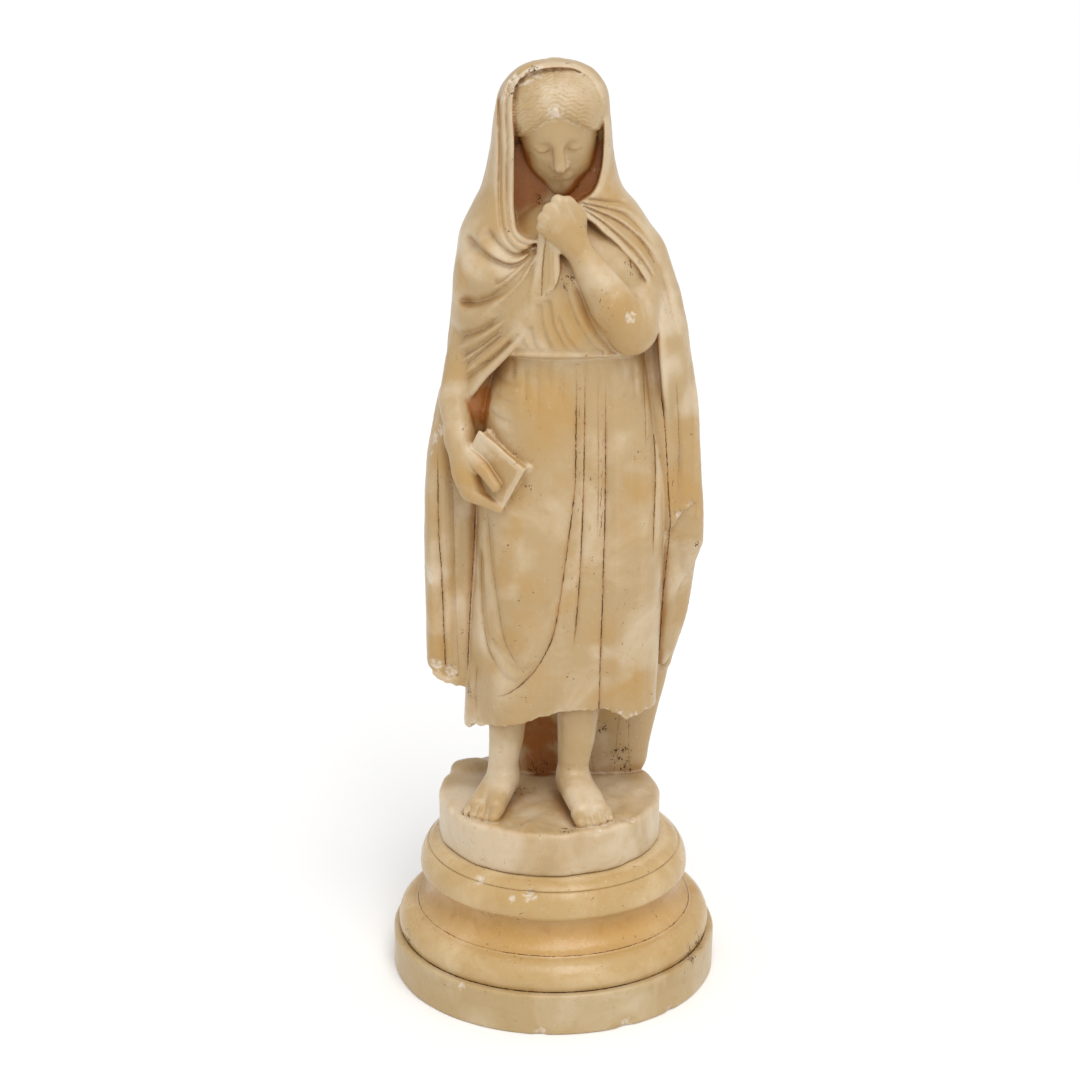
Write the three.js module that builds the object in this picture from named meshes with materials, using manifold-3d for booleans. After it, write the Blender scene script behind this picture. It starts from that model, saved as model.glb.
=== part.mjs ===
// A veiled figure carved in alabaster, barefoot on a round drum, on a turned socle and a plinth disc.
// Millimetres, +Z up, the figure faces -Y, and the origin is the middle of the plinth's underside.
import * as THREE from 'three';
import { mergeVertices } from 'three/addons/utils/BufferGeometryUtils.js';
import Module from 'manifold-3d';

const wasm = await Module();
wasm.setup();

// Driving dimensions of the turned base
const PLINTH_RADIUS = 73;
const PLINTH_HEIGHT = 18.5;
const PLINTH_EDGE = 1.2;
const SOCLE_TOP = 62.5;
const SOCLE_FOOT_RADIUS = 69.6;
const LOWER_TORUS = { r: 62.6, z: 22.4, width: 7.9, height: 8.4 };
const SCOTIA_WAIST_RADIUS = 54;
const UPPER_TORUS = { r: 50.6, z: 49, width: 9.8, rise: 13.2, drop: 4.2 };
const QUIRK_DEPTH = 0.8;
const QUIRK_HEIGHT = 58.6;
const LATHE_SIDES = 36;

// Driving dimensions of the figure
const DRUM = { x: -1.8, radius: 50.2, bottom: SOCLE_TOP, top: 82.5, edge: 1.4 };
const ROOT = DRUM.top - 5;
const BELT_HEIGHT = 286;
const HOOD_TOP = 403.6;
const HEAD = { x: 1.4, y: -6.5, z: 376.5, bow: 28, tilt: -4 };
const FIST = { x: 3.2, y: -30, z: 340.2 };
const BOOK = { x: -24.8, y: -28, z: 238.4, width: 27, height: 22, thickness: 7, slope: 31, turn: 35 };

// How finely the figure's surface is sampled, and how many triangles it keeps
const CELL = 1.75;
const FIGURE_TRIANGLES = 6500;

// Scalar helpers
const clamp01 = (t) => Math.min(1, Math.max(0, t));
const mix = (a, b, t) => a + (b - a) * t;
const radians = THREE.MathUtils.degToRad;
const length2 = (x, y) => Math.sqrt(x * x + y * y);
const length3 = (x, y, z) => Math.sqrt(x * x + y * y + z * z);

function smoothStep(low, high, v) {
  const t = clamp01((v - low) / (high - low));
  return t * t * (3 - 2 * t);
}

// Union and intersection of two distances, rounded over a blend of k mm
function join(a, b, k) {
  const h = Math.max(k - Math.abs(a - b), 0) / k;
  return Math.min(a, b) - h * h * k * 0.25;
}

const cut = (a, b, k) => -join(-a, -b, k);

// Distance to an ellipsoid, close to true near its surface
function ellipsoid(x, y, z, [cx, cy, cz], [rx, ry, rz]) {
  const ux = (x - cx) / rx;
  const uy = (y - cy) / ry;
  const uz = (z - cz) / rz;
  const k0 = length3(ux, uy, uz);
  const k1 = length3(ux / rx, uy / ry, uz / rz);
  return k1 < 1e-6 ? -Math.min(rx, ry, rz) : (k0 * (k0 - 1)) / k1;
}

// Distance to a limb: a chain of joints [x, y, z, radius] whose radius tapers along each bone
function limb(x, y, z, joints) {
  let best = Infinity;
  for (let i = 1; i < joints.length; i++) {
    const [ax, ay, az, ar] = joints[i - 1];
    const [bx, by, bz, br] = joints[i];
    const dx = bx - ax;
    const dy = by - ay;
    const dz = bz - az;
    const t = clamp01(((x - ax) * dx + (y - ay) * dy + (z - az) * dz) / (dx * dx + dy * dy + dz * dz));
    const d = length3(x - ax - t * dx, y - ay - t * dy, z - az - t * dz) - mix(ar, br, t);
    best = Math.min(best, d);
  }
  return best;
}

// Distance to a rounded box of half sizes hx, hy, hz in its own axes
function roundBox(x, y, z, hx, hy, hz, round) {
  const qx = Math.abs(x) - hx + round;
  const qy = Math.abs(y) - hy + round;
  const qz = Math.abs(z) - hz + round;
  const outside = length3(Math.max(qx, 0), Math.max(qy, 0), Math.max(qz, 0));
  return outside + Math.min(Math.max(qx, qy, qz), 0) - round;
}

// A column of cloth given by sections [height, left, right, front, back] with super-elliptic plans
const ROUNDNESS = 2.35;

function sectionAt(sections, z) {
  const last = sections.length - 1;
  let i = 0;
  while (i < last - 1 && z > sections[i + 1][0]) i++;
  const [z0, z1] = [sections[i][0], sections[i + 1][0]];
  const t = clamp01((z - z0) / (z1 - z0));
  const before = sections[Math.max(i - 1, 0)];
  const after = sections[Math.min(i + 2, last)];
  const [a, b] = [sections[i], sections[i + 1]];
  const out = [];
  for (let k = 1; k <= 4; k++) {
    const slopeA = ((b[k] - before[k]) / (b[0] - before[0])) * (z1 - z0);
    const slopeB = ((after[k] - a[k]) / (after[0] - a[0])) * (z1 - z0);
    const c2 = 3 * (b[k] - a[k]) - 2 * slopeA - slopeB;
    const c3 = 2 * (a[k] - b[k]) + slopeA + slopeB;
    out.push(a[k] + t * (slopeA + t * (c2 + t * c3)));
  }
  return out;
}

function column(x, y, z, sections, capRound, power = ROUNDNESS) {
  const [left, right, front, back] = sectionAt(sections, z);
  const dx = x - (left + right) / 2;
  const dy = y - (front + back) / 2;
  const u = Math.abs(dx) / ((right - left) / 2);
  const v = Math.abs(dy) / ((back - front) / 2);
  const q = Math.pow(Math.pow(u, power) + Math.pow(v, power), 1 / power);
  const reach = length2(dx, dy);
  const side = q < 1e-6 ? -20 : (reach - reach / q) * 0.85;
  const low = sections[0][0] - z;
  const high = z - sections[sections.length - 1][0];
  return cut(side, Math.max(low, high), capRound);
}

// Signed distance in the front view to a closed outline of [x, z] points, negative inside
function closedOutline(points, samples) {
  const corners = points.map(([x, z]) => new THREE.Vector3(x, 0, z));
  const curve = new THREE.CatmullRomCurve3(corners, true, 'centripetal');
  return curve.getPoints(samples).map((p) => [p.x, p.z]);
}

function outlineDistance(x, z, outline) {
  let best = Infinity;
  let inside = false;
  for (let i = 0, j = outline.length - 1; i < outline.length; j = i++) {
    const [ax, az] = outline[j];
    const [bx, bz] = outline[i];
    const dx = bx - ax;
    const dz = bz - az;
    const t = clamp01(((x - ax) * dx + (z - az) * dz) / (dx * dx + dz * dz || 1e-9));
    best = Math.min(best, length2(x - ax - t * dx, z - az - t * dz));
    if (az > z !== bz > z && x < ax + ((z - az) / dz) * dx) inside = !inside;
  }
  return inside ? -best : best;
}

// Height at x of an edge given by [x, z] points from left to right
function edgeHeight(edge, x) {
  let i = 0;
  while (i < edge.length - 2 && x > edge[i + 1][0]) i++;
  const [a, b] = [edge[i], edge[i + 1]];
  return mix(a[1], b[1], clamp01((x - a[0]) / (b[0] - a[0])));
}

// A crease is a line of [x, z] points in the front view, cut depth mm into the cloth. Its left and right
// widths, seen along the line, say how steep each side is. Its floor is rounded and it fades at both ends.
const CREASE_FLOOR = 1.3;

function crease(line, depth, left, right = left, fade = 0.15) {
  const curve = new THREE.SplineCurve(line.map(([x, z]) => new THREE.Vector2(x, z)));
  const points = curve.getPoints((line.length - 1) * 5);
  const margin = 5 * Math.max(left, right);
  const box = new THREE.Box2().setFromPoints(points).expandByScalar(margin);
  return { points, depth, left, right, fade, box };
}

function creaseDepth(x, z, c) {
  if (x < c.box.min.x || x > c.box.max.x || z < c.box.min.y || z > c.box.max.y) return 0;
  let best = Infinity;
  let along = 0;
  let side = 1;
  const steps = c.points.length - 1;
  for (let i = 0; i < steps; i++) {
    const a = c.points[i];
    const dx = c.points[i + 1].x - a.x;
    const dz = c.points[i + 1].y - a.y;
    const t = clamp01(((x - a.x) * dx + (z - a.y) * dz) / (dx * dx + dz * dz));
    const d = length2(x - a.x - t * dx, z - a.y - t * dz);
    if (d < best) {
      best = d;
      along = (i + t) / steps;
      side = dx * (z - a.y) - dz * (x - a.x);
    }
  }
  const ends = c.fade > 0 ? smoothStep(0, c.fade, along) * smoothStep(0, c.fade, 1 - along) : 1;
  const away = length2(best, CREASE_FLOOR) - CREASE_FLOOR;
  return c.depth * ends * Math.exp(-away / (side > 0 ? c.left : c.right));
}

// The deepest cut and the highest ridge of a set of creases at a place in the front view
function carve(x, z, creases) {
  let deep = 0;
  let high = 0;
  for (const c of creases) {
    const d = creaseDepth(x, z, c);
    deep = Math.max(deep, d);
    high = Math.min(high, d);
  }
  return deep + high;
}

// Gown: a skirt from the belt to the hem, over a bent right leg and a straight left one
const GOWN = [
  [108, -40, 46, -22, 22],
  [125, -39.6, 46.4, -24, 22],
  [150, -38.5, 47.5, -28, 25],
  [190, -35.5, 48, -32.5, 28],
  [230, -32.5, 48, -34, 29],
  [262, -29, 44, -32, 28],
  [288, -24, 38, -29.5, 25],
];
const BENT_LEG = [
  [-8, -13, 258, 18.5],
  [-10.5, -19, 186, 17],
  [-17, -17, 128, 11],
];
const HEM = [
  [-42, 113.5], [-36, 116.5], [-30, 120.5], [-20, 123], [-9, 126],
  [10, 129.5], [24, 128.5], [32, 122.5], [38, 125], [46, 125],
];
const GOWN_CREASES = [
  crease([[9, 283], [8.7, 253], [8.4, 232], [5.7, 208], [3, 187], [-0.2, 167], [-5, 155], [-11.5, 146],
    [-20.6, 138.5], [-28, 136.5]], 2.6, 3.6, 1.6, 0.12),
  crease([[12.4, 284], [12, 237], [11.3, 210], [10.3, 187], [8, 157]], 3.2, 1.7, 2),
  crease([[17.5, 280], [18.1, 237], [17.8, 204]], 2, 1.3, 1.3),
  crease([[20.8, 276], [21, 225], [20.5, 195], [20.4, 183], [19.8, 157], [19.3, 118]], 3.6, 2, 1.7, 0.05),
  crease([[25.5, 272], [26.4, 186], [26.2, 118]], -1.2, 1.6, 1.4),
  crease([[33, 256], [34, 190], [34, 118]], 2.4, 2.4, 2.4),
  crease([[40, 276], [41.7, 250], [42.5, 235], [41.9, 200], [40.5, 150], [40.5, 118]], 3.6, 2.2, 1.8, 0.08),
  crease([[-28.4, 222], [-26.9, 201.5], [-24.5, 184], [-21, 163], [-14, 150]], 2, 1.2, 2.4),
  crease([[-31, 205], [-31.2, 183], [-29, 160], [-24, 150]], 2.2, 1.4, 1.8),
  crease([[-29.5, 160], [-26, 153], [-20, 146.5], [-12, 143]], 1.7, 1.1, 2),
  crease([[-28, 168], [-23, 157], [-15, 151], [-7, 153]], 1.3, 1.1, 1.8),
  crease([[-33, 150], [-34, 138], [-34, 122]], 2, 1.4, 1.4),
  crease([[-26, 278], [-20, 274], [-12, 274]], 1, 1.2, 1.2),
  crease([[-27, 270], [-21, 267], [-14, 266]], 1, 1.2, 1.2),
];

function gown(x, y, z) {
  let d = join(column(x, y, z, GOWN, 3), limb(x, y, z, BENT_LEG), 9);
  const front = smoothStep(6, -6, y);
  d += front * carve(x, z, GOWN_CREASES);
  d = cut(d, z - BELT_HEIGHT - 1, 1.5);
  return cut(d, edgeHeight(HEM, x) - z, 1);
}

// Bodice, blousing a little over the belt, and the neck inside the hood
const BODICE = [
  [285, -27, 39, -31.5, 20],
  [291, -29, 40, -34, 21],
  [304, -30, 39, -34.5, 21],
  [318, -28, 37, -31, 20],
  [331, -22, 31, -22, 19],
  [346, -12, 17, -10, 17],
];
const BODICE_CREASES = [
  crease([[2, 320], [7, 304], [15, 291], [21, 286]], 3, 1.6, 2.4, 0.1),
  crease([[9, 318], [14, 303], [21, 292], [29, 286]], 3.4, 1.8, 2.6, 0.1),
  crease([[-4, 308], [-1, 298], [5, 289]], 2, 1.5, 2),
  crease([[-12, 298], [-10, 291], [-6, 287]], 1.8, 1.5, 2),
];
const NECK = [
  [1.5, 4, 338, 10],
  [1.8, -1, 362, 9],
];

function bodice(x, y, z) {
  let d = column(x, y, z, BODICE, 2.5);
  d += smoothStep(0, -10, y) * carve(x, z, BODICE_CREASES);
  return join(d, limb(x, y, z, NECK), 5);
}

// Mantle: a hooded cloak over head, shoulders and back, open in front and falling at both sides
const MANTLE = [
  [74, -22, 42.6, 17, 34],
  [90, -22, 43.6, 17, 35],
  [108, -24, 47, 14, 36.5],
  [124, -31, 50.4, 8, 37.5],
  [138, -41, 53.2, 4, 38],
  [148, -46, 56.6, 1, 38.4],
  [162, -50, 60, -3, 39],
  [188, -53, 63, -5, 39.5],
  [230, -53.5, 63, -10, 39],
  [256, -50, 61, -22, 38],
  [276, -46, 58.2, -30, 37.5],
  [300, -43.4, 52.6, -33.5, 36.5],
  [320, -42, 47, -33, 35],
  [334, -39.4, 41, -29, 33.5],
  [344, -34.6, 34.6, -25, 32],
  [352, -30.6, 28, -23, 31],
  [366, -27, 24.2, -24.5, 29],
  [382, -24.8, 22.6, -26, 25],
  [392, -22.4, 21, -25.5, 19],
  [399, -16.4, 15.8, -21.5, 11],
  [402.2, -10, 9.6, -17, 5],
  [HOOD_TOP, -3, 3, -11, -2],
];
const LEFT_FALL = [
  [126, -56.5, -37, -9, 24],
  [160, -56.4, -38, -12, 25],
  [200, -56.6, -38, -14, 26],
  [232, -55.4, -37, -13, 26],
  [252, -51, -35, -10, 26],
  [276, -45.4, -29, -5, 26],
  [300, -41.6, -25, 0, 25],
  [326, -34, -22, 4, 20],
];
const LEFT_FALL_HEM = [[-57, 145], [-53, 140.5], [-48, 137.5], [-38, 133.5]];
const RIGHT_FALL = [
  [37, -1, 324, 8],
  [43.6, -3, 304, 8.4],
  [48.4, -4, 283, 8.4],
  [51.8, -4, 262, 8.4],
  [54.4, -3, 241, 8.4],
  [56.4, -1, 206, 8.8],
];
const FRONT_OPENING = closedOutline([
  [-6, 336], [-6.6, 320], [-8, 306], [-11, 296.5], [-16.5, 288.5], [-22, 282.5], [-28, 275.5], [-33, 268],
  [-39, 258], [-40.5, 246], [-37, 225], [-36.5, 195], [-38, 160], [-38.5, 120], [0, 100], [44, 120],
  [46.5, 160], [48.5, 200], [48, 226], [46.4, 252], [44.2, 272], [42.4, 290], [40.4, 307], [35.5, 318],
  [28.5, 327], [19.5, 335.5], [11, 342], [3, 344],
], 120);
const FACE_OPENING = closedOutline([
  [-16.4, 388], [-12, 394], [-4, 397.6], [4, 398.4], [10, 396.6], [15, 391], [18.2, 382], [19.2, 370],
  [18.5, 360], [15.5, 351.5], [9, 347], [1, 342], [-6, 334.5], [-12, 334.3], [-15.6, 338], [-16.8, 350],
  [-16.2, 370],
], 80);
const HOOD_ROUNDNESS = 3.1;
const OPENING_FLOOR = 2;
const FACE_FLOOR = 0;
const RIM_BAND = { offset: 4.6, depth: 1.3, width: 1.5 };
const MANTLE_CREASES = [
  crease([[-27, 339], [-23.5, 332.5], [-18.4, 328], [-13, 327.6], [-7, 332]], 3, 1.8, 3.2, 0.2),
  crease([[-36, 334], [-31, 328.5], [-25.8, 324.4], [-18.4, 322], [-12.6, 324.5], [-7, 330.5]],
    3.6, 1.8, 3.6, 0.2),
  crease([[-42, 306.5], [-34.2, 305.6], [-27.5, 307.6], [-20, 312.6], [-13.5, 319], [-8, 328]],
    3.6, 3.4, 1.8),
  crease([[-30, 296], [-20.9, 303.6], [-15.5, 310], [-11.4, 316], [-7.4, 326]], 2.8, 2.4, 1.8),
  crease([[-46, 280], [-37, 286], [-28, 292.6], [-18, 301], [-10, 312]], 3, 2.8, 1.8),
  crease([[-49, 264], [-41, 273], [-32, 282], [-21.6, 291.5], [-13.5, 300]], 2.6, 2.4, 1.8),
  crease([[5, 348.4], [14, 347.6], [20, 346.6], [28, 345.6]], 2, 1.6, 2),
  crease([[8, 347], [18, 345], [27, 341], [35, 335], [42, 327], [47, 316], [52, 298]], 2.8, 1.8, 2.6),
  crease([[-49.5, 246], [-49.5, 209], [-48.5, 187], [-48, 165], [-47.4, 138]], 4.2, 2, 2.6),
  crease([[-43.5, 240], [-43, 205], [-42.5, 170], [-41.5, 138]], 2, 2, 2),
  crease([[55, 300], [57.5, 270], [58.5, 235], [58.5, 202]], 2.4, 2.2, 2.2),
];
// Folds down the back hang from the shoulders and fan out towards the hem
const BACK_FOLDS = { count: 9, left: -46, right: 52, depth: 3.4, top: 338 };
const BACK_CREASES = Array.from({ length: BACK_FOLDS.count }, (_, i) => {
  const x = mix(BACK_FOLDS.left, BACK_FOLDS.right, i / (BACK_FOLDS.count - 1));
  const sway = i % 2 ? 2.5 : -2;
  const top = BACK_FOLDS.top - (i % 3) * 26;
  const upper = [[x * 0.5 + 2, top], [x * 0.72 + sway, 270], [x * 0.95, 190]];
  const line = [...upper, [x * 0.8 + sway, 120], [x * 0.7 + 3, 74]];
  return crease(line, BACK_FOLDS.depth, i % 2 ? 4 : 2, i % 2 ? 2 : 4, 0.12);
});

function mantle(x, y, z) {
  let d = column(x, y, z, MANTLE, 1, mix(ROUNDNESS, HOOD_ROUNDNESS, smoothStep(350, 378, z)));
  const left = cut(column(x, y, z, LEFT_FALL, 2, 3.2), edgeHeight(LEFT_FALL_HEM, x) - z, 1.2);
  d = join(d, left, 6);
  d = join(d, limb(x, y, z, RIGHT_FALL), 7);
  d += smoothStep(14, 0, y) * carve(x, z, MANTLE_CREASES) + smoothStep(8, 24, y) * carve(x, z, BACK_CREASES);

  const face = outlineDistance(x, z, FACE_OPENING);
  const front = outlineDistance(x, z, FRONT_OPENING);
  const band = smoothStep(4, -6, y) * smoothStep(0, -10, x);
  d += band * RIM_BAND.depth * Math.exp(-(((face - RIM_BAND.offset) / RIM_BAND.width) ** 2));
  d = cut(d, -Math.max(front, y - OPENING_FLOOR), 3.4);
  return cut(d, -Math.max(face, y - FACE_FLOOR), 2.2);
}

// Head in its own axes: u to the viewer's right, v out of the face, w up; it bows and tilts a little
const HEAD_BOW = radians(HEAD.bow);
const HEAD_TILT = radians(HEAD.tilt);
const SKULL = [[0, -3, 5.5], [17.2, 19.8, 17]];
const BROW = [[0, 5, 2], [14.8, 13.4, 13]];
const JAW = [[0, 5.5, -7], [13.8, 12.8, 16]];
const CHIN = [[0, 9, -14, 6.5], [0, 12.6, -19, 4.8]];
const NOSE = [[0, 17.2, 3.5, 1.9], [0, 20.8, -5.8, 2.6]];
const NOSTRIL = [[2.2, 18.8, -6.4, 1.8], [1, 19.4, -5.6, 1.7]];
const HAIR = [[0, -1.6, 6], [17.8, 19.9, 16]];
const HAIRLINE = { middle: 12, drop: 0.05 };
const EYE = { u: 6.2, v: 17.2, w: 0.6, radius: 3.4 };
const SOCKET = [[EYE.u, EYE.v + 2.4, EYE.w], [5, 3.2, 3]];
const LID = [[EYE.u, EYE.v - 2.2, EYE.w - 0.3], [EYE.radius, EYE.radius, EYE.radius - 1]];
const LIPS = [[0, 17, -12], [4.6, 1.7, 1.7]];

function head(x, y, z) {
  const cb = Math.cos(HEAD_BOW);
  const sb = Math.sin(HEAD_BOW);
  const ct = Math.cos(HEAD_TILT);
  const st = Math.sin(HEAD_TILT);
  const forward = HEAD.y - y;
  const up = z - HEAD.z;
  const v = forward * cb - up * sb;
  const rise = forward * sb + up * cb;
  const u = (x - HEAD.x) * ct + rise * st;
  const w = rise * ct - (x - HEAD.x) * st;
  const side = Math.abs(u);
  let d = join(ellipsoid(u, v, w, ...SKULL), ellipsoid(u, v, w, ...JAW), 6);
  d = join(d, ellipsoid(u, v, w, ...BROW), 3);
  d = join(d, limb(u, v, w, CHIN), 4);
  d = cut(d, -ellipsoid(side, v, w, ...SOCKET), 2.5);
  d = join(d, ellipsoid(side, v, w, ...LID), 0.8);
  d = join(d, limb(u, v, w, NOSE), 2.2);
  d = join(d, limb(side, v, w, NOSTRIL), 1);
  d = join(d, ellipsoid(u, v, w, ...LIPS), 1.2);
  const hair = cut(ellipsoid(u, v, w, ...HAIR), HAIRLINE.middle - HAIRLINE.drop * u * u - w, 1.5);
  return join(d, hair, 1);
}

// Left arm, raised to hold the mantle closed under the chin
const LEFT_ARM = [
  [36, -2, 322, 11],
  [31.5, -24, 298.5, 10.3],
];
const LEFT_FOREARM = [
  [31, -27, 296.8, 10.4],
  [22.5, -33, 308.8, 9.6],
  [9.2, -31.5, 326.6, 6.5],
];
const PALM = [
  [8.6, -32, 328.2, 6.4],
  [FIST.x, FIST.y - 1.6, FIST.z, 7.6],
  [FIST.x - 0.4, FIST.y, FIST.z + 4, 6.6],
];
const KNUCKLES = { first: [3.2, -32, 349.4], last: [-5.4, -32, 338.8], count: 4, radius: 2.7, curl: 8 };

function leftArm(x, y, z) {
  let d = join(limb(x, y, z, LEFT_ARM), limb(x, y, z, LEFT_FOREARM), 4);
  d = join(d, limb(x, y, z, PALM), 3);
  for (let i = 0; i < KNUCKLES.count; i++) {
    const t = i / (KNUCKLES.count - 1);
    const [kx, ky, kz] = KNUCKLES.first.map((v, k) => mix(v, KNUCKLES.last[k], t));
    const finger = [[kx, ky, kz, KNUCKLES.radius], [kx + 1.5, ky + KNUCKLES.curl, kz - 1, KNUCKLES.radius]];
    d = join(d, limb(x, y, z, finger), 1.4);
  }
  return d;
}

// The end of the mantle that hangs below the fist
const TASSEL = [
  [-2, -29, 335, 4.5],
  [-3.6, -31.5, 321.5, 5.6],
  [-3, -32, 310.5, 6],
];
const TASSEL_CREASES = [
  crease([[-3.4, 334], [-5, 322], [-6, 307]], 2, 1.2),
  crease([[-0.8, 334], [-0.8, 322], [-1.4, 307]], 1.8, 1.2),
];

function tassel(x, y, z) {
  const d = limb(x, y, z, TASSEL) + carve(x, z, TASSEL_CREASES);
  return cut(d, 310.4 + 0.25 * (x + 4) - z, 1);
}

// Right arm, hanging under the mantle, with a hand that holds a small book against the thigh
const RIGHT_ARM = [
  [-36, -4, 290, 8],
  [-41.5, -11.5, 264, 7.2],
  [-39.6, -18.5, 249, 6],
];
const RIGHT_HAND = [
  [-39.6, -19, 249, 5.8],
  [-37, -24.5, 236.5, 6.3],
  [-34.8, -27, 228, 5.4],
  [-30, -26, 227, 4.4],
  [-25, -27.5, 224.6, 3.6],
];
const THUMB = [
  [-36, -24, 243, 4.2],
  [-28.6, -32.2, 237, 2.8],
  [-22.8, -35.6, 230, 2.4],
];
const FINGERS = { count: 4, from: [-34.4, -30, 226], to: [-23.2, -32.6, 219.8], spread: 2.5, radius: 2.6 };

function rightArm(x, y, z) {
  let d = join(limb(x, y, z, RIGHT_ARM), limb(x, y, z, RIGHT_HAND), 4);
  d = join(d, limb(x, y, z, THUMB), 2);
  for (let i = 0; i < FINGERS.count; i++) {
    const back = i * FINGERS.spread;
    const [fx, fy, fz] = FINGERS.from;
    const [tx, ty, tz] = FINGERS.to;
    const shorter = i === FINGERS.count - 1 ? 0.75 : 1;
    const tip = [mix(fx, tx, shorter), ty + back, mix(fz, tz, shorter), FINGERS.radius * 0.9];
    d = join(d, limb(x, y, z, [[fx, fy + back, fz, FINGERS.radius + 0.6], tip]), 1.2);
  }
  return d;
}

const BOOK_SLOPE = radians(BOOK.slope);
const BOOK_TURN = radians(BOOK.turn);
const BOOK_COVER = 1.3;
const BOOK_PAGE_INSET = 1;

function book(x, y, z) {
  const dx = x - BOOK.x;
  const dy = y - BOOK.y;
  const dz = z - BOOK.z;
  const across = dx * Math.cos(BOOK_TURN) - dy * Math.sin(BOOK_TURN);
  const t = dx * Math.sin(BOOK_TURN) + dy * Math.cos(BOOK_TURN);
  const u = across * Math.cos(BOOK_SLOPE) - dz * Math.sin(BOOK_SLOPE);
  const w = across * Math.sin(BOOK_SLOPE) + dz * Math.cos(BOOK_SLOPE);
  const cover = roundBox(u, t, w, BOOK.width / 2, BOOK.thickness / 2, BOOK.height / 2, 0.7);
  const pages = BOOK.thickness / 2 - BOOK_COVER;
  const inset = Math.max(Math.abs(u) - BOOK.width / 2, Math.abs(w) - BOOK.height / 2) + BOOK_PAGE_INSET;
  return Math.max(cover, Math.min(inset, pages - Math.abs(t)));
}

// Bare lower legs and feet
const LEGS = [
  {
    leg: [[-19, -10, 140, 9.8], [-21, -11, 112, 7.6], [-22.4, -10.5, 99, 6.6]],
    inner: [[-21.6, -10, 92, 6.8], [-23.6, -21, 90, 5.6], [-25.6, -29.5, 87, 4.4]],
    outer: [[-24, -8, 90, 6.4], [-29.5, -18, 88.5, 5], [-33.6, -25.5, 86.4, 3.8]],
    heading: [-0.31, -0.95],
    toes: [-29.6, -29.5],
    outward: -1,
  },
  {
    leg: [[11.5, -10, 140, 10.8], [9.8, -11, 112, 8.2], [8.6, -11, 99, 6.8]],
    inner: [[7.4, -10, 92, 6.8], [9.4, -24, 90.4, 5.8], [12, -34.5, 87.2, 4.6]],
    outer: [[10, -8, 90, 6.4], [15.4, -22, 88.6, 5.4], [19.6, -31.5, 86.6, 4]],
    heading: [0.26, -0.97],
    toes: [15.6, -35.5],
    outward: 1,
  },
];
const TOES = { count: 5, radius: [2.6, 2, 1.9, 1.8, 1.6], pitch: 3.2, length: 4.6 };

function legs(x, y, z) {
  let d = Infinity;
  for (const { leg, inner, outer, heading, toes, outward } of LEGS) {
    const foot = join(limb(x, y, z, inner), limb(x, y, z, outer), 4);
    let one = join(limb(x, y, z, leg), foot, 4);
    for (let k = 0; k < TOES.count; k++) {
      const across = (k - 1.6) * TOES.pitch * outward;
      const back = 0.2 * k * k;
      const r = TOES.radius[k];
      const root = [
        toes[0] - heading[1] * across - heading[0] * back,
        toes[1] + heading[0] * across - heading[1] * back,
        DRUM.top + r + 1.4,
        r + 0.5,
      ];
      const tip = [
        root[0] + heading[0] * TOES.length,
        root[1] + heading[1] * TOES.length,
        DRUM.top + r - 0.4,
        r,
      ];
      one = join(one, limb(x, y, z, [root, tip]), 0.9);
    }
    d = Math.min(d, one);
  }
  return d;
}

function figureDistance(x, y, z) {
  let cloth = mantle(x, y, z);
  cloth = join(cloth, gown(x, y, z), 1);
  if (z > 275) cloth = join(cloth, bodice(x, y, z), 1);
  const rim = length2(x - DRUM.x, y) - DRUM.radius + 0.8 - 0.8 * Math.max(z - DRUM.top, 0);
  let d = cut(cloth, Math.max(ROOT - z, rim), 0.5);
  if (z < 160) d = join(d, cut(legs(x, y, z), ROOT - z, 0.5), 1.2);
  if (z > 335) d = join(d, head(x, y, z), 1.6);
  if (z > 275) d = join(d, leftArm(x, y, z), 1.6);
  if (z > 300 && z < 345) d = join(d, tassel(x, y, z), 1.5);
  if (z > 205 && z < 310) d = join(d, Math.min(rightArm(x, y, z), book(x, y, z)), 0.8);
  return d;
}

// Marching tetrahedra: six tetrahedra round the diagonal of each cell, which always close
const TETRAHEDRA = [[0, 1, 3, 7], [0, 3, 2, 7], [0, 2, 6, 7], [0, 6, 4, 7], [0, 4, 5, 7], [0, 5, 1, 7]];
const EVEN_FIRST = [[0, 1, 2, 3], [1, 0, 3, 2], [2, 0, 1, 3], [3, 0, 2, 1]];
const EVEN_PAIR = {
  3: [0, 1, 2, 3],
  5: [0, 2, 3, 1],
  9: [0, 3, 1, 2],
  6: [1, 2, 0, 3],
  10: [1, 3, 2, 0],
  12: [2, 3, 0, 1],
};

// Values are worked out only near the surface: a block far from it takes the value at its middle
const BLOCK = 4;

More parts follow.
